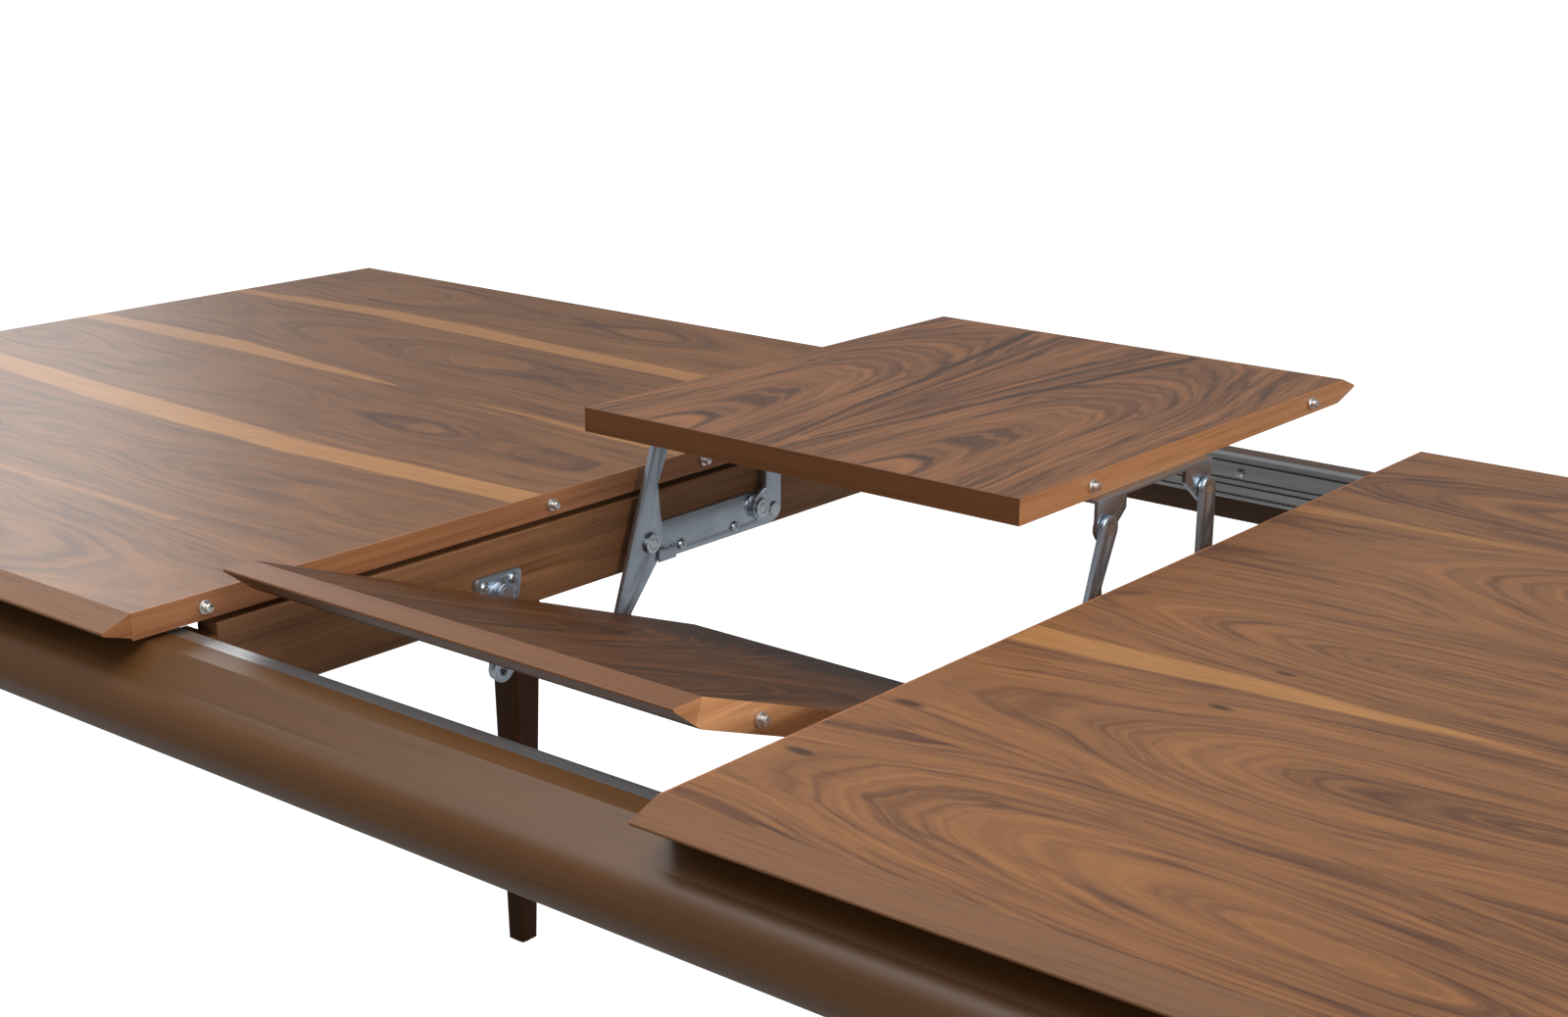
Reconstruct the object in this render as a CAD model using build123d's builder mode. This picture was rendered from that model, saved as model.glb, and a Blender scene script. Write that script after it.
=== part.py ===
"""Extendable dining table, drawn out, with its butterfly leaf part-way through unfolding.

The frame is fixed.  Two half tops slide along it on aluminium rails.  The leaf in the gap is in two
halves: steel arms lift both, carry the rear half level and tip the front half, and bring them flush.
Length runs along X, width along Y, height along Z, and the floor is at zero.
"""

import os
from math import asin, atan2, cos, degrees, hypot, radians, sin
from build123d import *

# ---------------------------------------------------------------- driving dimensions, in millimetres
table_height = 760
table_width = 1000
half_top_length = 885
left_gap_edge = -231.2
right_gap_edge = 231.2
frame_centre = -10.8  # the tops are drawn out unequally, so the frame stands a little left of the gap

board_thickness = 19
chamfer_width = 23
bevel_width = 29
nose_radius = 1.2
band_thickness = 1.5

leaf_width = 400
leaf_depth = 500

apron_inner = 447
apron_outer = 505
apron_top = -22
apron_bottom = -82
apron_round = 20
frame_half_length = 893

leg_across = 791
leg_along = 420
leg_top_size = 52
leg_foot_size = 24
leg_shoulder = -84
glide_height = 3

rail_inner = 435
rail_bottom = -60
rail_half_length = 762
cross_rail_face = 220
cross_rail_thickness = 22
cross_rail_half_span = 410
cross_rail_top = -24
cross_rail_bottom = -85

# Rounding a knife edge takes its sharp tip away, so the boards are drawn that much longer first.
half_nose_angle = (atan2(board_thickness / 2, chamfer_width) + atan2(board_thickness / 2, bevel_width)) / 2
sharp_tip = nose_radius * (1 / sin(half_nose_angle) - 1)
upper_chamfer = chamfer_width + sharp_tip
lower_bevel = bevel_width + sharp_tip

# Layers of the lifting gear, measured outwards from the frame's centre on both sides.
ear_layer = (203.5, 207.0)
arm_layer = (207.6, 211.6)
boss_layer = (211.9, 215.5)
plate_layer = (215.5, 220.0)
head_on_ear = (201.0, 203.4)
head_on_arm = (205.0, 207.5)
flush_head_on_arm = (207.1, 207.6)

rivet_radius = 4
running_clearance = 0.06
pivot_radius = 10

# ---------------------------------------------------------------- lifting gear, in the (y, z) plane
# z is measured from the upper face of the tops.
front_pivot = (12, -62)
rear_pivot = (152, -62)
crank = 90
ear_depth = 41.5
rest_angle = 79.5
flush_angle = degrees(asin((-ear_depth - front_pivot[1]) / crank))
lift_turn = rest_angle - flush_angle

front_ear_from_edge = crank * cos(radians(flush_angle)) + front_pivot[0]
rear_ear_from_edge = front_ear_from_edge + rear_pivot[0] - front_pivot[0]
lifted_pin = (
    front_pivot[0] + crank * cos(radians(rest_angle)),
    front_pivot[1] + crank * sin(radians(rest_angle)),
)
lifted_rear_pin = (lifted_pin[0] + rear_pivot[0] - front_pivot[0], lifted_pin[1])

leaf_tilt = 19.88
front_leaf_inner_edge = (55.9, -141.5)
hinge_from_edge = 92.7
hinge_depth = 44.1
guide_from_edge = 210
guide_depth = 56
guide_pivot = (-151, -65)


def tilted_point(from_edge, depth):
    """Give the (y, z) place of a point of the tilted front leaf."""
    lean = radians(leaf_tilt)
    y = front_leaf_inner_edge[0] - from_edge * cos(lean) - depth * sin(lean)
    z = front_leaf_inner_edge[1] + from_edge * sin(lean) - depth * cos(lean)
    return (y, z)


leaf_hinge = tilted_point(hinge_from_edge, hinge_depth)
guide_pin = tilted_point(guide_from_edge, guide_depth)

# ---------------------------------------------------------------- frames that the pieces are drawn in
table_frame = Plane(origin=(frame_centre, 0, table_height), x_dir=(1, 0, 0), z_dir=(0, 0, 1))
rear_leaf_frame = Plane(
    origin=(frame_centre, lifted_pin[0] - front_ear_from_edge, table_height + lifted_pin[1] + ear_depth),
    x_dir=(1, 0, 0),
    z_dir=(0, 0, 1),
)
front_leaf_frame = Plane(
    origin=(frame_centre, front_leaf_inner_edge[0], table_height + front_leaf_inner_edge[1]),
    x_dir=(1, 0, 0),
    z_dir=(0, sin(radians(leaf_tilt)), cos(radians(leaf_tilt))),
)
sides = (("left", -1), ("right", 1))
ends = (("front", -1), ("rear", 1))

os.makedirs("parts", exist_ok=True)


# ---------------------------------------------------------------- helpers
def write_part(part, name):
    """Label a finished piece and write its STEP file."""
    part.label = name
    export_step(part, f"parts/{name}.step")


def add_bar(frame, x_span, y_span, z_span, mode=Mode.ADD):
    """Add or cut a straight bar between two limits on each axis of a frame."""
    with BuildSketch(frame.offset(min(z_span))) as section:
        with Locations(((x_span[0] + x_span[1]) / 2, (y_span[0] + y_span[1]) / 2)):
            Rectangle(abs(x_span[1] - x_span[0]), abs(y_span[1] - y_span[0]))
    extrude(section.sketch, amount=abs(z_span[1] - z_span[0]), mode=mode)


def upright_plane(frame, side, layer):
    """Give the plane, square to the table's length, where a layer of the lifting gear starts."""
    start = min(side * layer[0], side * layer[1])
    corner = frame.from_local_coords(Vector(start, 0, 0))
    return Plane(origin=corner, x_dir=frame.y_dir, z_dir=frame.x_dir)


def add_rod(frame, side, layer, spot, radius, mode=Mode.ADD):
    """Add or cut a round rod along the table's length through a (y, z) spot of a frame."""
    with BuildSketch(upright_plane(frame, side, layer)) as section:
        with Locations(spot):
            Circle(radius)
    extrude(section.sketch, amount=layer[1] - layer[0], mode=mode)


def add_rivet(frame, side, spot, head, shank_end, head_radius=8):
    """Add a rivet whose shank runs outwards from its round head."""
    add_rod(frame, side, head, spot, head_radius)
    add_rod(frame, side, (head[1], shank_end), spot, rivet_radius)


def add_upright_rod(frame, spot, z_span, radius, mode=Mode.ADD):
    """Add or cut a rod square to a frame, centred on an (x, y) spot."""
    with BuildSketch(frame.offset(min(z_span))) as section:
        with Locations(spot):
            Circle(radius)
    extrude(section.sketch, amount=abs(z_span[1] - z_span[0]), mode=mode)


# ---------------------------------------------------------------- veneered boards with knife edges
def add_knife_board(frame, x_span, y_span, knife_sides):
    """Loft a board through its lower face, its knife edge and its upper face."""
    sections = []
    for height, inset in ((-board_thickness, lower_bevel), (-board_thickness / 2, 0), (0, upper_chamfer)):
        x_low = x_span[0] + inset * ("x_low" in knife_sides)
        x_high = x_span[1] - inset * ("x_high" in knife_sides)
        y_low = y_span[0] + inset * ("y_low" in knife_sides)
        y_high = y_span[1] - inset * ("y_high" in knife_sides)
        with BuildSketch(frame.offset(height)) as section:
            with Locations(((x_low + x_high) / 2, (y_low + y_high) / 2)):
                Rectangle(x_high - x_low, y_high - y_low)
        sections.append(section.sketch)
    loft(sections=sections, ruled=True)


def inset_spans(x_span, y_span, knife_sides):
    """Give the spans that the knife-edge lippings leave for the board."""
    x_low = x_span[0] + upper_chamfer * ("x_low" in knife_sides)
    x_high = x_span[1] - upper_chamfer * ("x_high" in knife_sides)
    y_low = y_span[0] + upper_chamfer * ("y_low" in knife_sides)
    y_high = y_span[1] - upper_chamfer * ("y_high" in knife_sides)
    return (x_low, x_high), (y_low, y_high)


def is_nose_edge(frame, edge, x_span, y_span, knife_sides):
    """Say whether an edge is a knife edge of the board."""
    middle = frame.to_local_coords(edge.center())
    at_mid_height = abs(middle.Z + board_thickness / 2) < 0.01
    limits = {"x_low": middle.X - x_span[0], "x_high": middle.X - x_span[1]}
    limits.update({"y_low": middle.Y - y_span[0], "y_high": middle.Y - y_span[1]})
    return at_mid_height and any(abs(limits[side]) < 0.01 for side in knife_sides)


through = (-board_thickness, 0)
pin_height = -board_thickness / 2
top_pin_spots = [(place, pin_height) for place in (-420, -90, 90, 420)]
leaf_pin_places = (90, 420)
sharp_length = half_top_length + sharp_tip
top_spans = {
    "left": ((left_gap_edge - sharp_length - frame_centre, left_gap_edge - frame_centre), "x_low"),
    "right": ((right_gap_edge - frame_centre, right_gap_edge + sharp_length - frame_centre), "x_high"),
}
top_y_span = (-table_width / 2 - sharp_tip, table_width / 2 + sharp_tip)
pin_collar_radius = 5
pin_neck_radius = 2.6
pin_knob_radius = 3.3
pin_shank = 16
pin_profile = ((0, 3, pin_collar_radius), (3, 5, pin_neck_radius))
top_pin_length = 8
leaf_pin_length = 7
left_gap_face = abs(top_spans["left"][0][1])
right_gap_face = top_spans["right"][0][0]
leaf_face = leaf_width / 2
socket_depth = 16
socket_floor = 2
socket_radius = 6
socket_bore = 4.4


def cut_pin_holes(frame, side, face, inwards, spots):
    """Cut the holes that the pins' shanks fill. inwards is 1 where the board lies beyond its face."""
    layer = sorted((face, face + inwards * pin_shank))
    for spot in spots:
        add_rod(frame, side, layer, spot, rivet_radius, Mode.SUBTRACT)


def cut_socket_holes(frame, side, face, inwards, spots):
    """Cut the holes that the sockets fill."""
    layer = sorted((face, face + inwards * socket_depth))
    for spot in spots:
        add_rod(frame, side, layer, spot, socket_radius, Mode.SUBTRACT)


def add_sockets(frame, side, face, inwards, spots):
    """Add sockets, each a short tube with a closed inner end."""
    layer = sorted((face, face + inwards * socket_depth))
    bore = sorted((face, face + inwards * (socket_depth - socket_floor)))
    for spot in spots:
        add_rod(frame, side, layer, spot, socket_radius)
        add_rod(frame, side, bore, spot, socket_bore, Mode.SUBTRACT)



for name, side in sides:
    x_span, end_side = top_spans[name]
    knife_sides = (end_side, "y_low", "y_high")
    core_x, core_y = inset_spans(x_span, top_y_span, knife_sides)
    gap_edge = core_x[1] if side < 0 else core_x[0]
    band_x = (gap_edge, gap_edge + side * band_thickness)
    cut_holes = cut_pin_holes if side < 0 else cut_socket_holes

    with BuildPart() as board:
        add_knife_board(table_frame, x_span, top_y_span, knife_sides)
        add_bar(table_frame, core_x, core_y, through, mode=Mode.INTERSECT)
        add_bar(table_frame, band_x, core_y, through, mode=Mode.SUBTRACT)
        cut_holes(table_frame, side, abs(gap_edge), 1, top_pin_spots)
    write_part(board.part, f"{name}_top_board")

    with BuildPart() as lipping:
        add_knife_board(table_frame, x_span, top_y_span, knife_sides)
        nose = [e for e in lipping.edges() if is_nose_edge(table_frame, e, x_span, top_y_span, knife_sides)]
        fillet(nose, radius=nose_radius)
        add_bar(table_frame, core_x, core_y, through, mode=Mode.SUBTRACT)
    write_part(lipping.part, f"{name}_top_lipping")

    with BuildPart() as band:
        add_bar(table_frame, band_x, core_y, through)
        cut_holes(table_frame, side, abs(gap_edge), 1, top_pin_spots)
    write_part(band.part, f"{name}_top_gap_band")


def add_pin(frame, side, face, outwards, spot, length):
    """Add an alignment pin: a shank in the board, then a collar, a neck and a knob outside its edge."""
    steps = ((-pin_shank, 0, rivet_radius), *pin_profile, (pin_profile[-1][1], length, pin_knob_radius))
    for start, end, radius in steps:
        layer = sorted((face + outwards * start, face + outwards * end))
        add_rod(frame, side, layer, spot, radius)


with BuildPart() as top_pins:
    for spot in top_pin_spots:
        add_pin(table_frame, -1, left_gap_face, -1, spot, top_pin_length)
write_part(top_pins.part, "left_top_pins")

with BuildPart() as top_sockets:
    add_sockets(table_frame, 1, right_gap_face, 1, top_pin_spots)
write_part(top_sockets.part, "right_top_sockets")

# ---------------------------------------------------------------- runners, glide pads and battens
runner_y = (425, 434.5)
runner_z = (-30, -board_thickness)
runner_x = {"left": (-700, -300), "right": (300, 700)}
pad_z = (-21.9, -board_thickness)
pad_y = (436, 446)
pad_places = (320, 470, 620)
pad_half_length = 20
batten_places = (330, 540)
batten_width = 40
batten_z = (-41, -board_thickness)
batten_half_span = 385

for name, side in sides:
    with BuildPart() as runners:
        for end in (-1, 1):
            add_bar(table_frame, runner_x[name], (end * runner_y[0], end * runner_y[1]), runner_z)
    write_part(runners.part, f"{name}_top_runners")

    with BuildPart() as pads:
        for x in pad_places:
            for end in (-1, 1):
                pad_x = (side * x - pad_half_length, side * x + pad_half_length)
                add_bar(table_frame, pad_x, (end * pad_y[0], end * pad_y[1]), pad_z)
    write_part(pads.part, f"{name}_top_glide_pads")

    gap_face = left_gap_face if side < 0 else right_gap_face
    with BuildPart() as battens:
        for place in batten_places:
            middle = side * (gap_face + place)
            batten_x = (middle - batten_width / 2, middle + batten_width / 2)
            add_bar(table_frame, batten_x, (-batten_half_span, batten_half_span), batten_z)
        fillet(battens.edges().filter_by(Axis.Y).group_by(Axis.Z)[0], radius=3)
    write_part(battens.part, f"{name}_top_battens")

# ---------------------------------------------------------------- leaf halves
bracket_screws_from_edge = {"rear": (96, 170, 244), "front": (72, 150, 230)}
bracket_screw_across = 180
flange_layer = (158, ear_layer[1])
flange_z = (-board_thickness - 3, -board_thickness)
screw_radius = 2
screw_head_radius = 4.5
screw_head_height = 2
screw_tip = -8

leaf_frames = {"rear": (rear_leaf_frame, 1), "front": (front_leaf_frame, -1)}
leaf_x = (-leaf_face, leaf_face)
sharp_depth = leaf_depth + sharp_tip

for name, (frame, outward) in leaf_frames.items():
    leaf_y = (0, sharp_depth) if outward > 0 else (-sharp_depth, 0)
    knife_sides = ("y_high",) if outward > 0 else ("y_low",)
    core_x, core_y = inset_spans(leaf_x, leaf_y, knife_sides)
    panel_x = (core_x[0] + band_thickness, core_x[1] - band_thickness)
    panel_y = (band_thickness, core_y[1]) if outward > 0 else (core_y[0], -band_thickness)
    screw_spots = [
        (side * bracket_screw_across, outward * place)
        for side in (-1, 1)
        for place in bracket_screws_from_edge[name]
    ]

    pin_spots = [(outward * place, pin_height) for place in leaf_pin_places]

    with BuildPart() as envelope:
        add_knife_board(frame, leaf_x, leaf_y, knife_sides)

    with BuildPart() as leaf_board:
        add_bar(frame, panel_x, panel_y, through)
        for spot in screw_spots:
            add_upright_rod(frame, spot, (-board_thickness, screw_tip), screw_radius, Mode.SUBTRACT)
        cut_pin_holes(frame, 1, leaf_face, -1, pin_spots)
        cut_socket_holes(frame, -1, leaf_face, -1, pin_spots)
        add(envelope.part, mode=Mode.INTERSECT)
    write_part(leaf_board.part, f"{name}_leaf_board")

    with BuildPart() as leaf_lipping:
        add_knife_board(frame, leaf_x, leaf_y, knife_sides)
        nose = [e for e in leaf_lipping.edges() if is_nose_edge(frame, e, leaf_x, leaf_y, knife_sides)]
        fillet(nose, radius=nose_radius)
        add_bar(frame, core_x, core_y, through, mode=Mode.SUBTRACT)
    write_part(leaf_lipping.part, f"{name}_leaf_lipping")

    with BuildPart() as leaf_bands:
        add_bar(frame, core_x, core_y, through)
        add(envelope.part, mode=Mode.INTERSECT)
        add_bar(frame, panel_x, panel_y, through, mode=Mode.SUBTRACT)
        cut_pin_holes(frame, 1, leaf_face, -1, pin_spots)
        cut_socket_holes(frame, -1, leaf_face, -1, pin_spots)
    write_part(leaf_bands.part, f"{name}_leaf_edge_band")

    with BuildPart() as leaf_pins:
        for spot in pin_spots:
            add_pin(frame, 1, leaf_face, 1, spot, leaf_pin_length)
    write_part(leaf_pins.part, f"{name}_leaf_pins")

    with BuildPart() as leaf_sockets:
        add_sockets(frame, -1, leaf_face, -1, pin_spots)
    write_part(leaf_sockets.part, f"{name}_leaf_sockets")

    with BuildPart() as bracket_screws:
        for spot in screw_spots:
            add_upright_rod(frame, spot, (flange_z[0] - screw_head_height, flange_z[0]), screw_head_radius)
            add_upright_rod(frame, spot, (flange_z[0], screw_tip), screw_radius)
    write_part(bracket_screws.part, f"{name}_leaf_bracket_screws")

# Each bracket is a flange under the leaf with two ears turned down outside the leaf's edge.
ear_width = 38
ear_straight = 32
bracket_ears = {
    "rear": ((front_ear_from_edge, ear_depth, 1), (rear_ear_from_edge, ear_depth, -1)),
    "front": ((hinge_from_edge, hinge_depth, 1), (guide_from_edge, guide_depth, -1)),
}
for leaf_name, (frame, outward) in leaf_frames.items():
    first_ear, last_ear = bracket_ears[leaf_name]
    flange_start = first_ear[0] - pivot_radius
    flange_end = last_ear[0] + pivot_radius
    with BuildPart() as brackets:
        for side in (-1, 1):
            flange_x = (side * flange_layer[0], side * flange_layer[1])
            add_bar(frame, flange_x, (outward * flange_start, outward * flange_end), flange_z)
            for place, depth, lean in bracket_ears[leaf_name]:
                with BuildSketch(upright_plane(frame, side, ear_layer)) as ear:
                    with BuildLine():
                        Polyline(
                            (outward * (place - lean * pivot_radius), flange_z[1]),
                            (outward * (place - lean * pivot_radius), -depth),
                            (outward * (place + lean * pivot_radius * 0.62), -depth - pivot_radius * 0.78),
                            (outward * (place + lean * (ear_width - pivot_radius)), -ear_straight),
                            (outward * (place + lean * (ear_width - pivot_radius)), flange_z[1]),
                            close=True,
                        )
                    make_face()
                    with Locations((outward * place, -depth)):
                        Circle(pivot_radius)
                extrude(ear.sketch, amount=ear_layer[1] - ear_layer[0])
                hole = rivet_radius + running_clearance
                add_rod(frame, side, ear_layer, (outward * place, -depth), hole, Mode.SUBTRACT)
            for place in bracket_screws_from_edge[leaf_name]:
                spot = (side * bracket_screw_across, outward * place)
                add_upright_rod(frame, spot, flange_z, screw_radius, Mode.SUBTRACT)
    write_part(brackets.part, f"{leaf_name}_leaf_brackets")

# ---------------------------------------------------------------- arms, links and rivets
leaf_hinge_radius = 11
front_boss_radius = 16
link_end_radius = 9
link_run = (guide_pin[0] - guide_pivot[0], guide_pin[1] - guide_pivot[1])
link_length = hypot(*link_run)
across = (-link_run[1] / link_length * link_end_radius, link_run[0] / link_length * link_end_radius)

for name, side in sides:
    with BuildPart() as long_arm:
        with BuildSketch(upright_plane(table_frame, side, arm_layer)) as outline:
            with BuildLine():
                Polyline(
                    (18.6, 28),
                    (-30, -113),
                    (leaf_hinge[0] - 10, leaf_hinge[1] + 5),
                    (leaf_hinge[0] + 9, leaf_hinge[1] - 6),
                    (-12, -115),
                    (20, -78),
                    (28, -62),
                    (23, -40),
                    (20, -14),
                    (38.2, 24),
                    close=True,
                )
            make_face()
            with Locations(front_pivot):
                Circle(front_boss_radius)
            with Locations(lifted_pin):
                Circle(pivot_radius)
            with Locations(leaf_hinge):
                Circle(leaf_hinge_radius)
        extrude(outline.sketch, amount=arm_layer[1] - arm_layer[0])
        for spot in (front_pivot, lifted_pin, leaf_hinge):
            add_rod(table_frame, side, arm_layer, spot, rivet_radius, Mode.SUBTRACT)
    write_part(long_arm.part, f"{name}_long_arm")

    with BuildPart() as rear_arm:
        with BuildSketch(upright_plane(table_frame, side, arm_layer)) as outline:
            with BuildLine():
                Polyline(
                    (144, -54),
                    (148, -73),
                    (170, -76),
                    (178.4, -66),
                    (178.4, 26),
                    (158.4, 26),
                    (158.4, -46),
                    close=True,
                )
            make_face()
            with Locations(rear_pivot, lifted_rear_pin):
                Circle(pivot_radius)
            with Locations((169.4, -67)):
                Circle(9)
        extrude(outline.sketch, amount=arm_layer[1] - arm_layer[0])
        for spot in (rear_pivot, lifted_rear_pin):
            add_rod(table_frame, side, arm_layer, spot, rivet_radius, Mode.SUBTRACT)
    write_part(rear_arm.part, f"{name}_rear_arm")

    with BuildPart() as guide_link:
        with BuildSketch(upright_plane(table_frame, side, arm_layer)) as outline:
            with BuildLine():
                Polyline(
                    (guide_pivot[0] + across[0], guide_pivot[1] + across[1]),
                    (guide_pin[0] + across[0], guide_pin[1] + across[1]),
                    (guide_pin[0] - across[0], guide_pin[1] - across[1]),
                    (guide_pivot[0] - across[0], guide_pivot[1] - across[1]),
                    close=True,
                )
            make_face()
            with Locations(guide_pivot, guide_pin):
                Circle(link_end_radius)
        extrude(outline.sketch, amount=arm_layer[1] - arm_layer[0])
        for spot in (guide_pivot, guide_pin):
            add_rod(table_frame, side, arm_layer, spot, rivet_radius, Mode.SUBTRACT)
    write_part(guide_link.part, f"{name}_guide_link")

rivet_groups = {
    "long_arm_rivets": ((front_pivot, "root"), (lifted_pin, "leaf"), (leaf_hinge, "leaf")),
    "rear_arm_rivets": ((rear_pivot, "root"), (lifted_rear_pin, "leaf")),
    "guide_link_rivets": ((guide_pivot, "root"),),
}
root_rivet_end = plate_layer[1] - 0.5
guide_head_radius = 6
root_head_radius = 8.5
for name, places in rivet_groups.items():
    with BuildPart() as rivets:
        for side in (-1, 1):
            for spot, holds in places:
                if spot == guide_pivot:
                    add_rivet(table_frame, side, spot, flush_head_on_arm, root_rivet_end, guide_head_radius)
                elif holds == "root":
                    add_rivet(table_frame, side, spot, head_on_arm, root_rivet_end, root_head_radius)
                else:
                    add_rivet(table_frame, side, spot, head_on_ear, arm_layer[1])
    write_part(rivets.part, name)

# ---------------------------------------------------------------- cross rails, base bars, guide plates
base_bar_ends = (0, 188)
base_bar_z = (-82, -50)
base_bar_screws = ((58, -75), (126, -75))
base_bar_slot = (179, -70)
plate_screws = ((-167, -58), (-137, -57))
spare_hole = (-137, -70)
spare_hole_radius = 2.5
guide_plate_corners = ((-177, -50), (-127, -50), (-131, -74), (-145, -84), (-157, -84), (-173, -74))
plate_screw_head = 4.5
plate_screw_shank = 2
cross_rail_far_face = cross_rail_face + cross_rail_thickness
board_layer = (cross_rail_face, cross_rail_far_face)
screw_head_layer = (213.4, plate_layer[0])
screw_shank_layer = (plate_layer[0], cross_rail_face + 16)

for name, side in sides:
    with BuildPart() as cross_rail:
        cross_x = (side * board_layer[0], side * board_layer[1])
        cross_y = (-cross_rail_half_span, cross_rail_half_span)
        add_bar(table_frame, cross_x, cross_y, (cross_rail_bottom, cross_rail_top))
        fillet(cross_rail.edges().filter_by(Axis.Y), radius=2)
        for spot in base_bar_screws + plate_screws:
            pilot = (cross_rail_face, screw_shank_layer[1])
            add_rod(table_frame, side, pilot, spot, plate_screw_shank, Mode.SUBTRACT)
    write_part(cross_rail.part, f"{name}_cross_rail")

    with BuildPart() as base_bar:
        with BuildSketch(upright_plane(table_frame, side, plate_layer)) as outline:
            middle = ((base_bar_ends[0] + base_bar_ends[1]) / 2, sum(base_bar_z) / 2)
            with Locations(middle):
                SlotOverall(base_bar_ends[1] - base_bar_ends[0], base_bar_z[1] - base_bar_z[0])
            with Locations(base_bar_slot):
                SlotOverall(9, 4, rotation=90, mode=Mode.SUBTRACT)
        extrude(outline.sketch, amount=plate_layer[1] - plate_layer[0])
        for spot in (front_pivot, rear_pivot):
            add_rod(table_frame, side, boss_layer, spot, pivot_radius)
            bore = (boss_layer[0], plate_layer[1])
            add_rod(table_frame, side, bore, spot, rivet_radius + running_clearance, Mode.SUBTRACT)
        for spot in base_bar_screws:
            add_rod(table_frame, side, plate_layer, spot, plate_screw_shank, Mode.SUBTRACT)
    write_part(base_bar.part, f"{name}_base_bar")

    with BuildPart() as guide_plate:
        with BuildSketch(upright_plane(table_frame, side, plate_layer)) as outline:
            with BuildLine():
                Polyline(*guide_plate_corners, close=True)
            make_face()
            fillet(outline.vertices(), radius=5)
        extrude(outline.sketch, amount=plate_layer[1] - plate_layer[0])
        add_rod(table_frame, side, boss_layer, guide_pivot, link_end_radius)
        bore = (boss_layer[0], plate_layer[1])
        add_rod(table_frame, side, bore, guide_pivot, rivet_radius + running_clearance, Mode.SUBTRACT)
        add_rod(table_frame, side, plate_layer, spare_hole, spare_hole_radius, Mode.SUBTRACT)
        for spot in plate_screws:
            add_rod(table_frame, side, plate_layer, spot, plate_screw_shank, Mode.SUBTRACT)
    write_part(guide_plate.part, f"{name}_guide_plate")

with BuildPart() as plate_screw_set:
    for side in (-1, 1):
        for spot in base_bar_screws + plate_screws:
            add_rod(table_frame, side, screw_head_layer, spot, plate_screw_head)
            add_rod(table_frame, side, screw_shank_layer, spot, plate_screw_shank)
write_part(plate_screw_set.part, "base_bar_screws")

end_block_across = (cross_rail_face + 2, cross_rail_face + 34)
end_block_z = (-80, -33)
with BuildPart() as end_blocks:
    for side in (-1, 1):
        for end in (-1, 1):
            block_x = (side * end_block_across[0], side * end_block_across[1])
            block_y = (end * cross_rail_half_span, end * rail_inner)
            add_bar(table_frame, block_x, block_y, end_block_z)
write_part(end_blocks.part, "cross_rail_end_blocks")

# ---------------------------------------------------------------- aluminium slide rails
rail_grooves = ((-28, -25), (-43, -31), (-48.5, -45.5), (-57, -51))
groove_depth = 2.5
rail_screw_spacing = 192
rail_screw_count = 8
rail_screw_z = -37
rail_screw_head = 3.8
rail_screw_shank = 2
rail_screw_recess = 0.4
rail_screw_places = [(i - (rail_screw_count - 1) / 2) * rail_screw_spacing for i in range(rail_screw_count)]
screw_into_apron = 18


def add_cross_rod(place, end, y_span, height, radius, mode=Mode.ADD):
    """Add or cut a rod across the table at a place along it, on its front or rear side."""
    middle = end * (y_span[0] + y_span[1]) / 2
    with Locations((frame_centre + place, middle, table_height + height)):
        Cylinder(radius, y_span[1] - y_span[0], rotation=(90, 0, 0), mode=mode)


for name, end in ends:
    with BuildPart() as rail:
        rail_x = (-rail_half_length, rail_half_length)
        add_bar(table_frame, rail_x, (end * rail_inner, end * apron_inner), (rail_bottom, apron_top))
        for groove in rail_grooves:
            groove_y = (end * rail_inner, end * (rail_inner + groove_depth))
            add_bar(table_frame, rail_x, groove_y, groove, mode=Mode.SUBTRACT)
        for place in rail_screw_places:
            hole = (rail_inner + groove_depth, apron_inner)
            add_cross_rod(place, end, hole, rail_screw_z, rail_screw_shank, Mode.SUBTRACT)
    write_part(rail.part, f"{name}_slide_rail")

with BuildPart() as rail_screws:
    for end in (-1, 1):
        for place in rail_screw_places:
            head = (rail_inner + rail_screw_recess, rail_inner + groove_depth)
            shank = (rail_inner + groove_depth, apron_inner + screw_into_apron)
            add_cross_rod(place, end, head, rail_screw_z, rail_screw_head)
            add_cross_rod(place, end, shank, rail_screw_z, rail_screw_shank)
write_part(rail_screws.part, "rail_screws")

# ---------------------------------------------------------------- aprons with a rounded outer face
leg_bolt_z = (-40, -64)
leg_bolt_radius = 4
leg_bolt_head = 7
leg_bolt_head_height = 5
leg_inner_face = leg_along - leg_top_size / 2
leg_outer_face = leg_along + leg_top_size / 2
bolt_into_apron = 24
corner = frame_half_length - apron_outer
flat_edge = (466, apron_top)  # the flat strip beside the slide rail ends here
shoulder = (487, -37)
brow = (500, -47.5)


def draw_apron_section():
    """Draw the apron's section from its inner face outwards: flat top, sloping shoulder, round belly."""
    belly = (apron_outer - apron_round, apron_bottom + apron_round)
    diagonal = apron_round * cos(radians(45))
    with BuildLine() as outline:
        Polyline((apron_inner, apron_bottom), (apron_inner, apron_top), flat_edge, shoulder)
        ThreePointArc(shoulder, brow, (apron_outer, belly[1]))
        ThreePointArc(
            (apron_outer, belly[1]),
            (belly[0] + diagonal, belly[1] - diagonal),
            (belly[0], apron_bottom),
        )
        Line((belly[0], apron_bottom), (apron_inner, apron_bottom))
    make_face(outline.edges())


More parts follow.
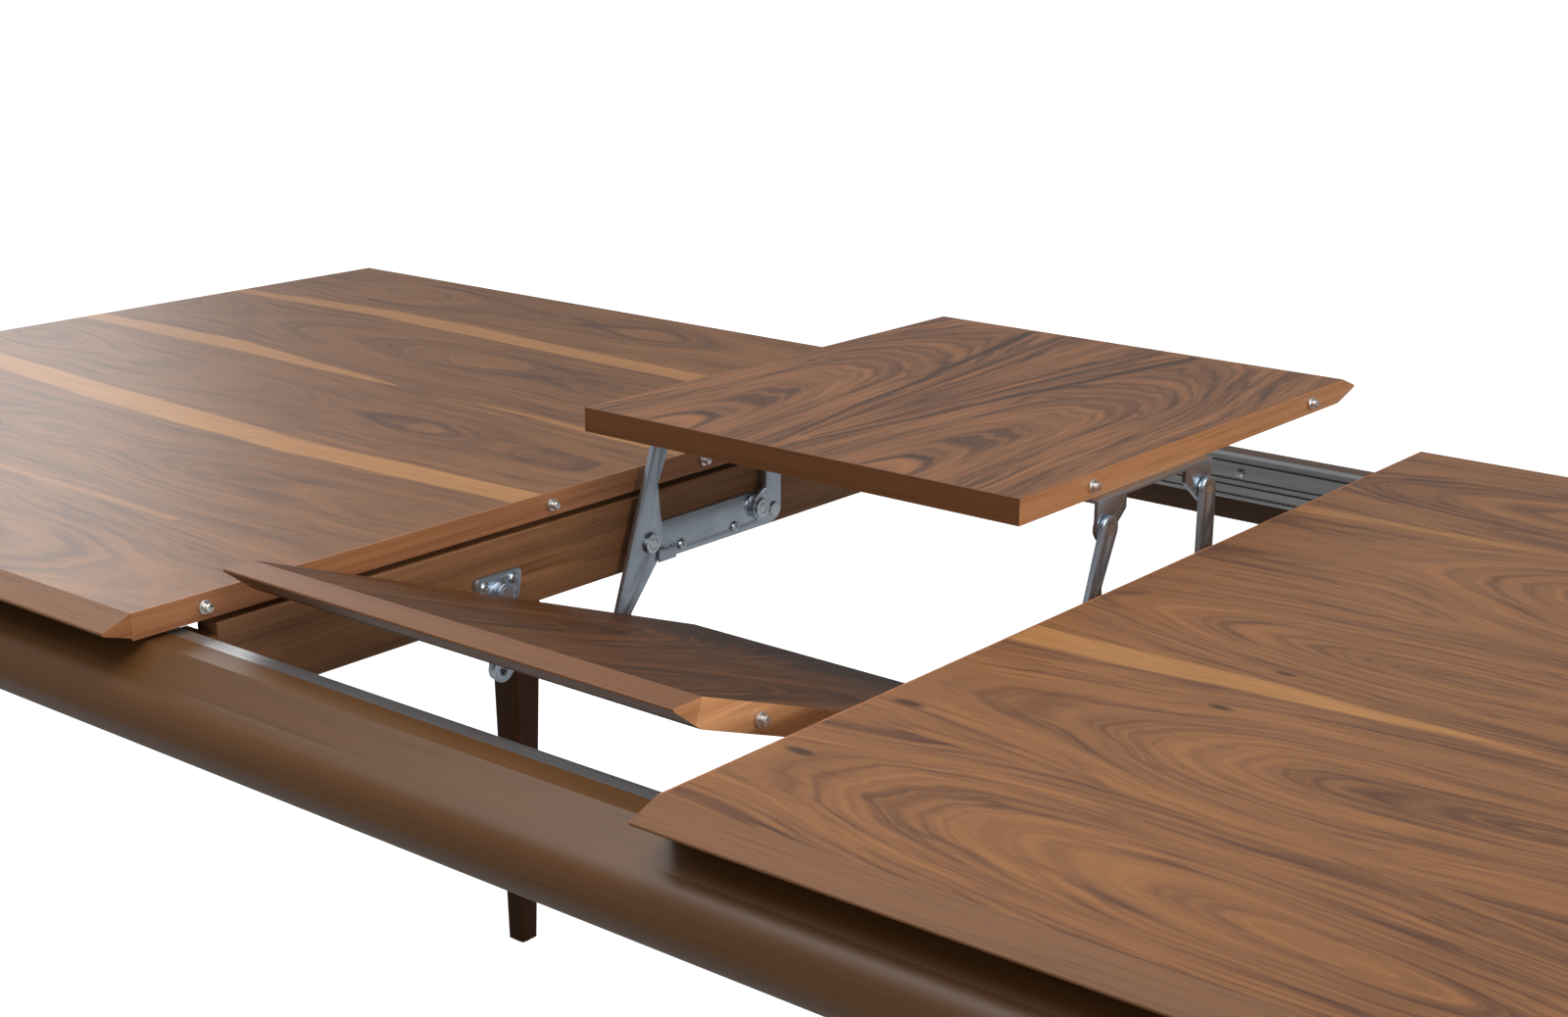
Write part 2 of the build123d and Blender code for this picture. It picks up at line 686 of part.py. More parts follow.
def mitre_planes(outward_axis, end):
    """Give the two planes that cut an apron's ends at 45 degrees."""
    planes = []
    for hand in (-1, 1):
        if outward_axis == "y":
            origin = (frame_centre + hand * frame_half_length, end * apron_outer, 0)
            normal = (hand, -end, 0)
        else:
            origin = (frame_centre + end * frame_half_length, hand * apron_outer, 0)
            normal = (-end, hand, 0)
        planes.append(Plane(origin=origin, z_dir=normal))
    return planes


for name, end in ends:
    start = Plane(
        origin=(frame_centre - end * frame_half_length, 0, table_height),
        x_dir=(0, end, 0),
        z_dir=(end, 0, 0),
    )
    with BuildPart() as apron:
        with BuildSketch(start) as section:
            draw_apron_section()
        extrude(section.sketch, amount=2 * frame_half_length)
        for mitre in mitre_planes("y", end):
            split(bisect_by=mitre, keep=Keep.BOTTOM)
        for place in rail_screw_places:
            hole = (apron_inner, apron_inner + screw_into_apron)
            add_cross_rod(place, end, hole, rail_screw_z, rail_screw_shank, Mode.SUBTRACT)
        for place in (-leg_across, leg_across):
            for height in leg_bolt_z:
                hole = (apron_inner, apron_inner + bolt_into_apron)
                add_cross_rod(place, end, hole, height, leg_bolt_radius, Mode.SUBTRACT)
    write_part(apron.part, f"{name}_apron")

for name, side in sides:
    start = Plane(
        origin=(frame_centre + side * corner, side * apron_outer, table_height),
        x_dir=(side, 0, 0),
        z_dir=(0, -side, 0),
    )
    with BuildPart() as end_apron:
        with BuildSketch(start) as section:
            draw_apron_section()
        extrude(section.sketch, amount=2 * apron_outer)
        for mitre in mitre_planes("x", side):
            split(bisect_by=mitre, keep=Keep.BOTTOM)
    write_part(end_apron.part, f"{name}_end_apron")

# ---------------------------------------------------------------- legs, corner blocks, bolts and glides
leg_edge_radius = 3
glide_radius = 8
for end_name, end in ends:
    for side_name, side in sides:
        middle = (frame_centre + side * leg_across, end * leg_along)
        with BuildPart() as leg:
            sections = []
            for height, size in ((glide_height, leg_foot_size), (table_height + leg_shoulder, leg_top_size)):
                with BuildSketch(Plane.XY.offset(height)) as section:
                    with Locations(middle):
                        RectangleRounded(size, size, leg_edge_radius)
                sections.append(section.sketch)
            loft(sections=sections, ruled=True)
            extrude(sections[-1], amount=apron_top - leg_shoulder)
            for height in leg_bolt_z:
                hole = (leg_inner_face, apron_inner)
                add_cross_rod(side * leg_across, end, hole, height, leg_bolt_radius, Mode.SUBTRACT)
        write_part(leg.part, f"{end_name}_{side_name}_leg")

with BuildPart() as bolts:
    for end in (-1, 1):
        for side in (-1, 1):
            for height in leg_bolt_z:
                place = side * leg_across
                head = (leg_inner_face - leg_bolt_head_height, leg_inner_face)
                shank = (leg_inner_face, apron_inner + bolt_into_apron)
                add_cross_rod(place, end, head, height, leg_bolt_head)
                add_cross_rod(place, end, shank, height, leg_bolt_radius)
write_part(bolts.part, "leg_bolts")

block_inner = leg_across + leg_top_size / 2
block_outer = frame_half_length - (apron_outer - apron_inner)
block_z = (apron_bottom + 4, apron_top - 2)
with BuildPart() as corner_blocks:
    for end in (-1, 1):
        for side in (-1, 1):
            block_x = (side * block_inner, side * block_outer)
            block_y = (end * leg_inner_face, end * apron_inner)
            add_bar(table_frame, block_x, block_y, block_z)
write_part(corner_blocks.part, "corner_blocks")

with BuildPart() as spacers:
    for end in (-1, 1):
        for side in (-1, 1):
            spacer_x = (side * (leg_across - leg_top_size / 2), side * block_inner)
            spacer_y = (end * leg_outer_face, end * apron_inner)
            add_bar(table_frame, spacer_x, spacer_y, block_z)
            for height in leg_bolt_z:
                hole = (leg_outer_face, apron_inner)
                add_cross_rod(side * leg_across, end, hole, height, leg_bolt_radius, Mode.SUBTRACT)
write_part(spacers.part, "leg_spacers")

with BuildPart() as glides:
    for end in (-1, 1):
        for side in (-1, 1):
            middle = (frame_centre + side * leg_across, end * leg_along)
            with BuildSketch(Plane.XY):
                with Locations(middle):
                    Circle(glide_radius)
            extrude(amount=glide_height)
write_part(glides.part, "leg_glides")
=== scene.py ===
# %% [markdown]
# # An extending dining table, opened half way
# The two tops are drawn apart and a folding insert swings up between them on flat steel arms.
# The parts come in from CAD at their true size and place, and this lesson gives them their finishes:
# book-matched walnut veneer, solid walnut edges, lacquered aprons, zinc-plated steel and anodised rails.
# Small turned and pressed pieces, such as pins, rivets and screws, are modelled again here, because
# CAD only has them as plain steps.

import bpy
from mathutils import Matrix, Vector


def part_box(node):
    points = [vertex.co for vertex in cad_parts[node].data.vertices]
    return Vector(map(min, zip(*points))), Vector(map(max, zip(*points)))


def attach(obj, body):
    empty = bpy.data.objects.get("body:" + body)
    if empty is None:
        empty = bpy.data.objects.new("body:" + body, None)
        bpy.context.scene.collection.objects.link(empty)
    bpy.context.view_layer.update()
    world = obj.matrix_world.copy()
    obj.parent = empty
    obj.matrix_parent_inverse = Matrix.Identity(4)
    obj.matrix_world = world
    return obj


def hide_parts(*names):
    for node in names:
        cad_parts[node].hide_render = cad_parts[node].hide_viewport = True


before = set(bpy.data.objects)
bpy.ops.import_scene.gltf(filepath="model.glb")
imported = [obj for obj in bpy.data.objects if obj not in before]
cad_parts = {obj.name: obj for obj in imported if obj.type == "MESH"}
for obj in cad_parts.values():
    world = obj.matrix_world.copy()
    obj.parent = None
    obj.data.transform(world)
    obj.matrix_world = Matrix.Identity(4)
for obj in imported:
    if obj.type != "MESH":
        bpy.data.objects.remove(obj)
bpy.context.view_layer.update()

# %% [markdown]
# ## Two helpers for every finish
# Colours are written as on a paint card, as sRGB hex values, and Blender's shaders want linear ones.
# One function turns them. A second adds a shader node with its settings and its links, so that each
# material below reads from top to bottom like a recipe.

# %% Colours and nodes
import math

import bpy
from mathutils import Matrix, Vector

scene = bpy.context.scene


def linear(code):
    """An sRGB hex colour as linear red, green, blue and full alpha."""
    channels = [int(code[start : start + 2], 16) / 255 for start in (1, 3, 5)]
    lit = [c / 12.92 if c <= 0.04045 else ((c + 0.055) / 1.055) ** 2.4 for c in channels]
    return (*lit, 1.0)


def add(tree, kind, inputs=None, stops=None, **settings):
    """Adds a node. An input is a value, a socket, or a node whose first open output is used."""
    node = tree.nodes.new("ShaderNode" + kind)
    for setting, value in settings.items():
        setattr(node, setting, value)
    if stops:
        ramp = node.color_ramp
        while len(ramp.elements) < len(stops):
            ramp.elements.new(0.5)
        for element, (position, colour) in zip(ramp.elements, stops):
            element.position = position
            element.color = linear(colour)
    for socket, value in (inputs or {}).items():
        if isinstance(value, bpy.types.Node):
            value = next(output for output in value.outputs if output.enabled)
        if isinstance(value, bpy.types.NodeSocket):
            tree.links.new(value, node.inputs[socket])
        else:
            node.inputs[socket].default_value = value
    return node


def new_finish(name, **values):
    """A material with its Principled shader's own sockets set: base colour, roughness and so on."""
    material = bpy.data.materials.new(name)
    material.use_nodes = True
    shader = material.node_tree.nodes["Principled BSDF"]
    for socket, value in values.items():
        shader.inputs[socket.replace("_", " ")].default_value = value
    return material, material.node_tree, shader


print("walnut heartwood in linear light", [round(c, 3) for c in linear("#7A5138")])

# %% [markdown]
# ## Walnut veneer
# A walnut log is sliced flat into leaves about 200 mm wide, which are laid side by side on the board.
# Each slice passes near the heart of the tree, so its growth rings show as long arches, called
# cathedrals, with straight lines either side. Where a slice reaches the outside of the log there is a
# band of pale sapwood.
#
# The rings can be worked out. A flat cut at a depth h from the heart meets the ring of radius r where
# r is the root of v squared plus h squared, v being the distance across the leaf. The heart isn't
# parallel to the cut, so h grows along the leaf and the rings close into arches. This is why one rule
# gives both the arches and the straight lines, and a scanned image isn't needed.

# %% The growth rings
MM = 0.001


def strip_facts(tree, strips, across):
    """The heart line, the eye and the seed of the strip that a point across the board is in."""
    chosen = add(tree, "CombineXYZ", dict(enumerate(strips[0][1:])))
    for lower_edge, *facts in strips[1:]:
        past = add(tree, "Math", {0: across, 1: lower_edge}, operation="GREATER_THAN")
        chosen = add(tree, "Mix", {0: past, 4: chosen, 5: facts}, data_type="VECTOR")
    return tuple(add(tree, "SeparateXYZ", {0: chosen}).outputs)


def wander(tree, local, seed, scale, detail):
    """Soft noise of a strip's own, at so many waves a metre along each axis."""
    waves = add(tree, "Mapping", {"Vector": local, "Scale": scale})
    inputs = {"Vector": waves, "W": seed, "Scale": 1.0, "Detail": detail}
    return add(tree, "TexNoise", inputs, noise_dimensions="4D")


def growth_rings(tree, local, along, across, strips, taper, depth_sway):
    """The place among the rings, as (along, ring radius, seed), and the rings' small shake."""
    heart, eye, seed = strip_facts(tree, strips, across)
    heart_sway, ring_shake = 90 * MM, 13 * MM

    # How far the point is to the side of the heart, which sways slowly.
    sway = wander(tree, local, seed, (2.2, 5.0, 1.0), 1.5)
    sideways = add(tree, "Math", {0: sway, 1: heart_sway, 2: -heart_sway / 2}, operation="MULTIPLY_ADD")
    offset = add(tree, "Math", {0: across, 1: heart}, operation="SUBTRACT")
    offset = add(tree, "Math", {0: offset, 1: sideways}, operation="ADD")

    # How deep the heart lies under the cut. It is at the surface near the eye of the figure.
    rise = add(tree, "Math", {0: along, 1: seed}, operation="ADD")
    heave = add(tree, "TexNoise", {"W": rise, "Scale": 3.2, "Detail": 1.0}, noise_dimensions="1D")
    swing = add(tree, "Math", {0: heave, 1: depth_sway, 2: -depth_sway / 2}, operation="MULTIPLY_ADD")
    from_eye = add(tree, "Math", {0: along, 1: eye}, operation="SUBTRACT")
    depth = add(tree, "Math", {0: from_eye, 1: taper}, operation="MULTIPLY")
    depth = add(tree, "Math", {0: depth, 1: swing}, operation="ADD")

    # The ring's radius, with a fine ripple in the rings.
    flat_way = add(tree, "CombineXYZ", {0: offset, 1: depth, 2: 0.0})
    radius = add(tree, "VectorMath", {0: flat_way}, operation="LENGTH").outputs["Value"]
    ripple = wander(tree, local, seed, (7.0, 34.0, 1.0), 3.0)
    shake = add(tree, "Math", {0: ripple, 1: ring_shake, 2: -ring_shake / 2}, operation="MULTIPLY_ADD")
    radius = add(tree, "Math", {0: radius, 1: shake}, operation="ADD")
    return add(tree, "CombineXYZ", {0: along, 1: radius, 2: seed}), shake


print("a ring 60 mm from a heart 25 mm deep has a radius of", round(math.hypot(60, 25)), "mm")

# %% [markdown]
# ### From rings to colour
# Walnut goes from light brown to almost black within a few rings. Each ring ends in a thin dark line,
# and open pores show as fine dark dashes along the grain. Noise is read along the ring radius, so that
# all of a ring has the same tone. It is stretched along the grain, so that it fades in and out as in
# real wood.

# %% Rings to colour
def ring_colour(tree, rings, colours, line_strength, fineness):
    """The heartwood's colour, and the noise of its fibres."""
    light, middle, dark = colours

    # The years are broad, a ring is narrower, and a fibre is the finest. They are waves a metre.
    looks = {}
    for look, waves, detail in (
        ("years", (3.0, 42.0 * fineness, 9.0), 1.0),
        ("ring", (6.0, 125.0 * fineness, 17.0), 2.0),
        ("line", (4.0, 78.0 * fineness, 23.0), 2.0),
        ("fibre", (12.0, 380.0, 31.0), 5.0),
    ):
        stretched = add(tree, "VectorMath", {0: rings, 1: waves}, operation="MULTIPLY")
        looks[look] = add(tree, "TexNoise", {"Vector": stretched, "Scale": 1.0, "Detail": detail})

    # The years make 22 % of the tone, the rings 32 % and the fibres 46 %.
    tone = add(tree, "Math", {0: looks["years"], 1: 0.22}, operation="MULTIPLY")
    tone = add(tree, "Math", {0: looks["ring"], 1: 0.32, 2: tone}, operation="MULTIPLY_ADD")
    tone = add(tree, "Math", {0: looks["fibre"], 1: 0.46, 2: tone}, operation="MULTIPLY_ADD")
    heartwood = add(tree, "ValToRGB", {0: tone}, stops=((0.37, light), (0.50, middle), (0.66, dark)))

    # A dark line runs where the noise crosses its middle value, thin and uneven like a year's end.
    crossing = add(tree, "Math", {0: looks["line"], 1: 0.5}, operation="SUBTRACT")
    crossing = add(tree, "Math", {0: crossing}, operation="ABSOLUTE")
    edge = {"Value": crossing, "From Min": 0.0, "From Max": 0.030, "To Min": line_strength, "To Max": 0.0}
    edge = add(tree, "MapRange", edge, interpolation_type="SMOOTHSTEP")
    fading = {"Value": looks["years"], "From Min": 0.35, "From Max": 0.6, "To Min": 0.25}
    fading = add(tree, "MapRange", fading)
    edge = add(tree, "Math", {0: edge, 1: fading}, operation="MULTIPLY")
    lined = add(tree, "Mix", {0: edge, 6: heartwood, 7: linear(dark)}, data_type="RGBA")
    return lined, looks["fibre"]


def open_pores(tree, local, colour, dark):
    """Lays dark dashes over a colour, about 1 mm wide and 50 mm long. Real pores are a little finer."""
    waves = add(tree, "Mapping", {"Vector": local, "Scale": (20.0, 430.0, 20.0)})
    pore = add(tree, "TexNoise", {"Vector": waves, "Scale": 1.0, "Detail": 3.0, "Roughness": 0.7})
    pore = {"Value": pore, "From Min": 0.55, "From Max": 0.70}
    pore = add(tree, "MapRange", pore, interpolation_type="SMOOTHSTEP")
    shown = add(tree, "Math", {0: pore, 1: 0.38}, operation="MULTIPLY")
    return add(tree, "Mix", {0: shown, 6: colour, 7: linear(dark)}, data_type="RGBA"), pore


print("at a fineness of 1, years are", round(1000 / 42), "mm wide and rings", round(1000 / 125), "mm")

# %% [markdown]
# ### Sapwood, streaks and knots
# These are features of one leaf of veneer, so each has its place on the board. A band runs from one
# point to another and its width changes on the way, which makes the long wedges of sapwood that walnut
# tops have. A pin knot is where a twig began: a dark eye, drawn out along the grain.

# %% Bands and knots
def lay_band(tree, along, across, shake, fibre, colour, start, end, strength, tones):
    """Lays a band over a colour. start and end are (along, across, width), all in metres."""
    (from_u, from_v, from_width), (to_u, to_v, to_width) = start, end
    run = {"Value": along, "From Min": from_u, "From Max": to_u}
    centre = add(tree, "MapRange", {**run, "To Min": from_v, "To Max": to_v})
    half = add(tree, "MapRange", {**run, "To Min": from_width / 2, "To Max": to_width / 2})
    aside = add(tree, "Math", {0: across, 1: centre}, operation="SUBTRACT")
    aside = add(tree, "Math", {0: shake, 1: 0.9, 2: aside}, operation="MULTIPLY_ADD")
    aside = add(tree, "Math", {0: aside}, operation="ABSOLUTE")
    beyond = add(tree, "Math", {0: aside, 1: half}, operation="SUBTRACT")
    blur = 2.5 * MM
    inside = {"Value": beyond, "From Min": -blur, "From Max": blur, "To Min": strength, "To Max": 0.0}
    inside = add(tree, "MapRange", inside, interpolation_type="SMOOTHSTEP")
    for limit, side in ((min(from_u, to_u), "GREATER_THAN"), (max(from_u, to_u), "LESS_THAN")):
        within = add(tree, "Math", {0: along, 1: limit}, operation=side)
        inside = add(tree, "Math", {0: inside, 1: within}, operation="MULTIPLY")
    shade = add(tree, "ValToRGB", {0: fibre}, stops=((0.25, tones[0]), (0.75, tones[1])))
    return add(tree, "Mix", {0: inside, 6: colour, 7: shade}, data_type="RGBA")


def lay_knot(tree, along, across, shake, colour, knot_along, knot_across, radius):
    """Lays a pin knot over a colour, at a place in metres."""
    lengthways = add(tree, "Math", {0: along, 1: knot_along}, operation="SUBTRACT")
    lengthways = add(tree, "Math", {0: lengthways, 1: 0.4}, operation="MULTIPLY")
    sideways = add(tree, "Math", {0: across, 1: knot_across}, operation="SUBTRACT")
    sideways = add(tree, "Math", {0: shake, 1: 0.5, 2: sideways}, operation="MULTIPLY_ADD")
    way = add(tree, "CombineXYZ", {0: lengthways, 1: sideways, 2: 0.0})
    away = add(tree, "VectorMath", {0: way}, operation="LENGTH").outputs["Value"]
    spot = {"Value": away, "From Min": 0.3 * radius, "From Max": radius, "To Min": 0.85, "To Max": 0.0}
    spot = add(tree, "MapRange", spot, interpolation_type="SMOOTHSTEP")
    return add(tree, "Mix", {0: spot, 6: colour, 7: linear("#2E1C13")}, data_type="RGBA")


SAPWOOD = ("#A87746", "#8D6338")
HEART_STREAK = ("#3C2518", "#322014")
print("sapwood runs from", SAPWOOD[0], "to", SAPWOOD[1], "and a dark streak is", HEART_STREAK[0])

# %% [markdown]
# ### The veneer as a finish
# The pieces above go together into one material. Its lacquer is satin and fills most of each pore, so
# only a dent of a few hundredths of a millimetre is left.

# %% The veneer recipe
def walnut_veneer(
    name, strips, bands, colours, taper, depth_sway, line_strength, fineness,
    origin=(0, 0, 0), turn=(0, 0, 0), seam=None, knots=(), shine=0.28,
):
    """Veneer whose grain runs along local X. strips are (lower edge, heart line, eye, seed), metres."""
    material, tree, shader = new_finish(name, Roughness=0.42, Specular_IOR_Level=shine)
    here = add(tree, "TexCoord").outputs["Object"]
    local = {"Vector": here, "Location": origin, "Rotation": turn}
    local = add(tree, "Mapping", local, vector_type="TEXTURE")
    along, across, _ = add(tree, "SeparateXYZ", {0: local}).outputs
    if seam is not None:
        # Book-matched: what lies on one side of the joint is mirrored on the other.
        from_seam = add(tree, "Math", {0: across, 1: seam}, operation="SUBTRACT")
        across = add(tree, "Math", {0: from_seam}, operation="ABSOLUTE").outputs[0]
        local = add(tree, "CombineXYZ", {0: along, 1: across, 2: 0.0})
    rings, shake = growth_rings(tree, local, along, across, strips, taper, depth_sway)
    colour, fibre = ring_colour(tree, rings, colours, line_strength, fineness)
    colour, pore = open_pores(tree, local, colour, colours[-1])
    for each_band in bands:
        colour = lay_band(tree, along, across, shake, fibre, colour, *each_band)
    for knot in knots:
        colour = lay_knot(tree, along, across, shake, colour, *knot)
    dent = {"Height": pore, "Strength": 0.25, "Distance": 0.04 * MM}
    dent = add(tree, "Bump", dent, invert=True)
    tree.links.new(colour.outputs[2], shader.inputs["Base Color"])
    tree.links.new(dent.outputs[0], shader.inputs["Normal"])
    print(name, "has", len(tree.nodes), "nodes")
    return material


# %% [markdown]
# The tops are laid with five leaves each, side by side across the table, and the grain runs along it.
# The left top shows sapwood at four of its joints. The right top has a wedge of it, a faint one, and
# four pin knots.

# %% The veneer of the two tops
strips_left = (
    (-0.52, -0.430, -1.90, 1.7),
    (-0.325, -0.215, 0.30, 4.1),
    (-0.115, -0.020, -1.70, 6.6),
    (0.098, 0.200, 0.40, 9.2),
    (0.295, 0.400, -1.80, 12.4),
)
strips_right = (
    (-0.52, -0.408, 0.600, 2.3),
    (-0.318, -0.237, 0.624, 5.2),
    (-0.126, -0.023, 0.525, 8.8),
    (0.072, 0.165, 0.900, 11.1),
    (0.258, 0.360, 0.700, 14.6),
)
sap_left = (
    ((-1.110, -0.085, 0.034), (-0.785, -0.112, 0.038), 0.85, SAPWOOD),
    ((-0.785, -0.112, 0.038), (-0.495, -0.126, 0.036), 0.85, SAPWOOD),
    ((-0.495, -0.126, 0.036), (-0.230, -0.113, 0.032), 0.80, SAPWOOD),
    ((-1.110, 0.091, 0.026), (-0.865, 0.100, 0.034), 0.80, SAPWOOD),
    ((-0.865, 0.100, 0.034), (-0.598, 0.080, 0.003), 0.80, SAPWOOD),
    ((-0.490, 0.080, 0.003), (-0.230, 0.066, 0.013), 0.65, SAPWOOD),
    ((-1.110, 0.285, 0.020), (-0.862, 0.305, 0.032), 0.75, SAPWOOD),
    ((-0.862, 0.305, 0.032), (-0.398, 0.286, 0.028), 0.75, SAPWOOD),
    ((-0.398, 0.286, 0.028), (-0.230, 0.283, 0.024), 0.70, SAPWOOD),
    ((-0.980, -0.318, 0.004), (-0.389, -0.323, 0.007), 0.45, SAPWOOD),
)
sap_right = (
    ((0.230, -0.131, 0.034), (0.395, -0.123, 0.026), 0.85, SAPWOOD),
    ((0.395, -0.123, 0.026), (0.565, -0.119, 0.002), 0.85, SAPWOOD),
    ((0.230, 0.254, 0.018), (0.445, 0.262, 0.005), 0.65, SAPWOOD),
)
knots_right = (
    (0.251, -0.381, 0.006),
    (0.253, -0.281, 0.006),
    (0.397, -0.168, 0.005),
    (0.399, -0.091, 0.004),
)
veneer_left = walnut_veneer(
    "walnut_veneer_left_top", strips_left, sap_left, ("#7B5230", "#6A4629", "#452A1B"),
    taper=0.05, depth_sway=50 * MM, line_strength=0.45, fineness=1.5,
)
veneer_right = walnut_veneer(
    "walnut_veneer_right_top", strips_right, sap_right, ("#875B37", "#775032", "#492D20"),
    taper=0.17, depth_sway=50 * MM, line_strength=0.60, fineness=1.25, knots=knots_right,
)

# %% [markdown]
# Each folding leaf is laid with two leaves of veneer that mirror one another, with the grain running
# from its inner edge to its outer edge. The lines fan out from the joint, and dark streaks of heartwood
# fan out with them on the rear leaf. The front leaf stands tilted, so its pattern is tilted with it, and
# starts from the height and the place of the leaf's inner edge.

# %% The veneer of the folding leaves
board_low, board_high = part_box("rear_leaf_board")
leaf_middle = (board_low.x + board_high.x) / 2
quarter_turn = math.radians(90)
leaf_tilt = math.radians(19.88)
front_leaf_inner_edge = (leaf_middle, 0.0559, 0.6185)
streaks_rear = (
    ((-0.060, 0.008, 0.003), (0.400, 0.082, 0.009), 0.95, HEART_STREAK),
    ((-0.030, 0.006, 0.003), (0.400, 0.050, 0.006), 0.85, HEART_STREAK),
    ((0.040, 0.012, 0.002), (0.330, 0.026, 0.005), 0.70, HEART_STREAK),
)
strips_rear = ((-0.01, 0.108, -0.12, 3.1),)
strips_front = ((-0.01, 0.104, -0.52, 7.7),)
veneer_rear_leaf = walnut_veneer(
    "walnut_veneer_rear_leaf", strips_rear, streaks_rear, ("#875937", "#6D482E", "#3B2519"),
    taper=0.167, depth_sway=25 * MM, line_strength=0.8, fineness=1.5,
    origin=(leaf_middle, 0, 0), turn=(0, 0, quarter_turn), seam=0.015,
)
# The front leaf's browns are darker than the rear leaf's: painted shade, for the tilted leaf that lies in
# shade.
veneer_front_leaf = walnut_veneer(
    "walnut_veneer_front_leaf", strips_front, (), ("#6C4426", "#4C2F1A", "#2A1A10"),
    taper=0.15, depth_sway=25 * MM, line_strength=0.7, fineness=1.5,
    origin=front_leaf_inner_edge, turn=(leaf_tilt, 0, quarter_turn), seam=0.004, shine=0.06,
)
print("leaf middle", round(leaf_middle, 4))

# %% [markdown]
# ## Solid walnut edges and planed timber
# The edges of the tops are solid walnut, planed to a knife edge and lacquered satin. Solid wood shows
# long soft streaks along the piece. The streaks are noise stretched along the grain. Round the edge of
# a top the grain turns the corner, so the way a face looks decides which way its grain runs.

# %% The planed timber recipe
def planed_timber(name, light, dark, gloss, run, streak=260.0, pores=0.25, ends=None, shine=0.35):
    """run is the axis the grain follows, or "edge" where it follows the edge that a face is on.

    ends are the two colours given to faces that look along X, on a piece whose grain follows the edge. On
    the leaves they are painted light: paler browns for the faces that turn to the side.
    """
    material, tree, shader = new_finish(name, Roughness=gloss, Specular_IOR_Level=shine)
    here = add(tree, "TexCoord").outputs["Object"]
    stretches = {"x": (5.0, streak, streak), "y": (streak, 5.0, streak), "z": (streak, streak, 5.0)}
    if run == "edge":
        facing = add(tree, "NewGeometry").outputs["True Normal"]
        size = add(tree, "VectorMath", {0: facing}, operation="ABSOLUTE")
        facing_x, facing_y, _ = add(tree, "SeparateXYZ", {0: size}).outputs
        sideways = add(tree, "Math", {0: facing_x, 1: facing_y}, operation="GREATER_THAN")
        both = {0: sideways, 4: stretches["x"], 5: stretches["y"]}
        stretch = add(tree, "Mix", both, data_type="VECTOR")
    else:
        stretch = stretches[run]
    spread = add(tree, "VectorMath", {0: here, 1: stretch}, operation="MULTIPLY")

    # Fine and broad streaks, half of each, give the tone.
    streaks = add(tree, "TexNoise", {"Vector": spread, "Scale": 0.5, "Detail": 4.0, "Roughness": 0.6})
    broad = add(tree, "TexNoise", {"Vector": spread, "Scale": 0.09, "Detail": 2.0})
    tone = add(tree, "Math", {0: broad, 1: 0.5}, operation="MULTIPLY")
    tone = add(tree, "Math", {0: streaks, 1: 0.5, 2: tone}, operation="MULTIPLY_ADD")
    wood = add(tree, "ValToRGB", {0: tone}, stops=((0.36, light), (0.64, dark)))
    # Faces that look along X take the end browns instead; on the leaves these are painted light.
    if ends:
        facing_along_x = add(tree, "Math", {0: facing_x, 1: 0.95}, operation="GREATER_THAN")
        end_wood = add(tree, "ValToRGB", {0: tone}, stops=((0.36, ends[0]), (0.64, ends[1])))
        wood = add(tree, "Mix", {0: facing_along_x, 6: wood, 7: end_wood}, data_type="RGBA")

    # Pores darken the colour and leave a dent in the lacquer.
    pore = add(tree, "TexNoise", {"Vector": spread, "Scale": 2.6, "Detail": 0.0})
    pore = add(tree, "MapRange", {"Value": pore, "From Min": 0.62, "From Max": 0.74})
    shown = add(tree, "Math", {0: pore, 1: pores}, operation="MULTIPLY")
    pored = {0: shown, 6: wood, 7: linear(dark)}
    colour = add(tree, "Mix", pored, data_type="RGBA", blend_type="MULTIPLY")
    dent = add(tree, "Bump", {"Height": pore, "Strength": 0.2, "Distance": 0.04 * MM}, invert=True)
    tree.links.new(colour.outputs[2], shader.inputs["Base Color"])
    tree.links.new(dent.outputs[0], shader.inputs["Normal"])
    print(name, "has", len(tree.nodes), "nodes")
    return material


# %% [markdown]
# Each timber is a pair of close browns. The lippings and the leaves' edge bands have two more, for
# their faces that look along the table. The tops' lippings give those faces the browns of the edge
# bands, and the leaves paint them paler still, which is painted light on the faces that turn to the
# side. The aprons are stained darker and more evenly than the tops, and the legs darker still. The
# rails and blocks inside are beech, stained to match.

# %% The timber finishes
band_tones = ("#A06C46", "#7B4C2D")
# The leaves' end browns are painted light: faces that look along the table are painted paler, and the
# front leaf's band palest.
leaf_ends_painted_light = ("#BC875C", "#976540")
front_leaf_ends_painted_light = ("#D39C6D", "#AC764B")
leaf_tones = ("#74482A", "#5D3A20")
walnut_lipping = planed_timber(
    "solid_walnut_lipping", "#70492A", "#5B3B23", 0.42, "edge", ends=band_tones, shine=0.2
)
walnut_band = planed_timber("walnut_edge_band", *band_tones, 0.45, "edge", streak=420.0)
leaf_band = planed_timber("walnut_leaf_edge_band", *leaf_tones, 0.42, "edge", ends=leaf_ends_painted_light)
front_leaf_band_painted_light = planed_timber("walnut_leaf_edge_band_painted_light_ends", *leaf_tones, 0.42, "edge", ends=front_leaf_ends_painted_light)
leaf_lipping = planed_timber(
    "solid_walnut_leaf_lipping", "#754A29", "#603C22", 0.42, "edge", ends=leaf_ends_painted_light
)
apron_lacquer = planed_timber(
    "lacquered_walnut_apron", "#593A1D", "#4B3015", 0.36, "edge", streak=120.0, pores=0.1
)
leg_walnut = planed_timber(
    "stained_walnut_leg", "#4A2813", "#351D0E", 0.42, "z", streak=200.0, shine=0.1
)
stained_beech = planed_timber(
    "stained_beech_rail", "#8A5E3A", "#674327", 0.55, "y", streak=300.0, pores=0.4
)
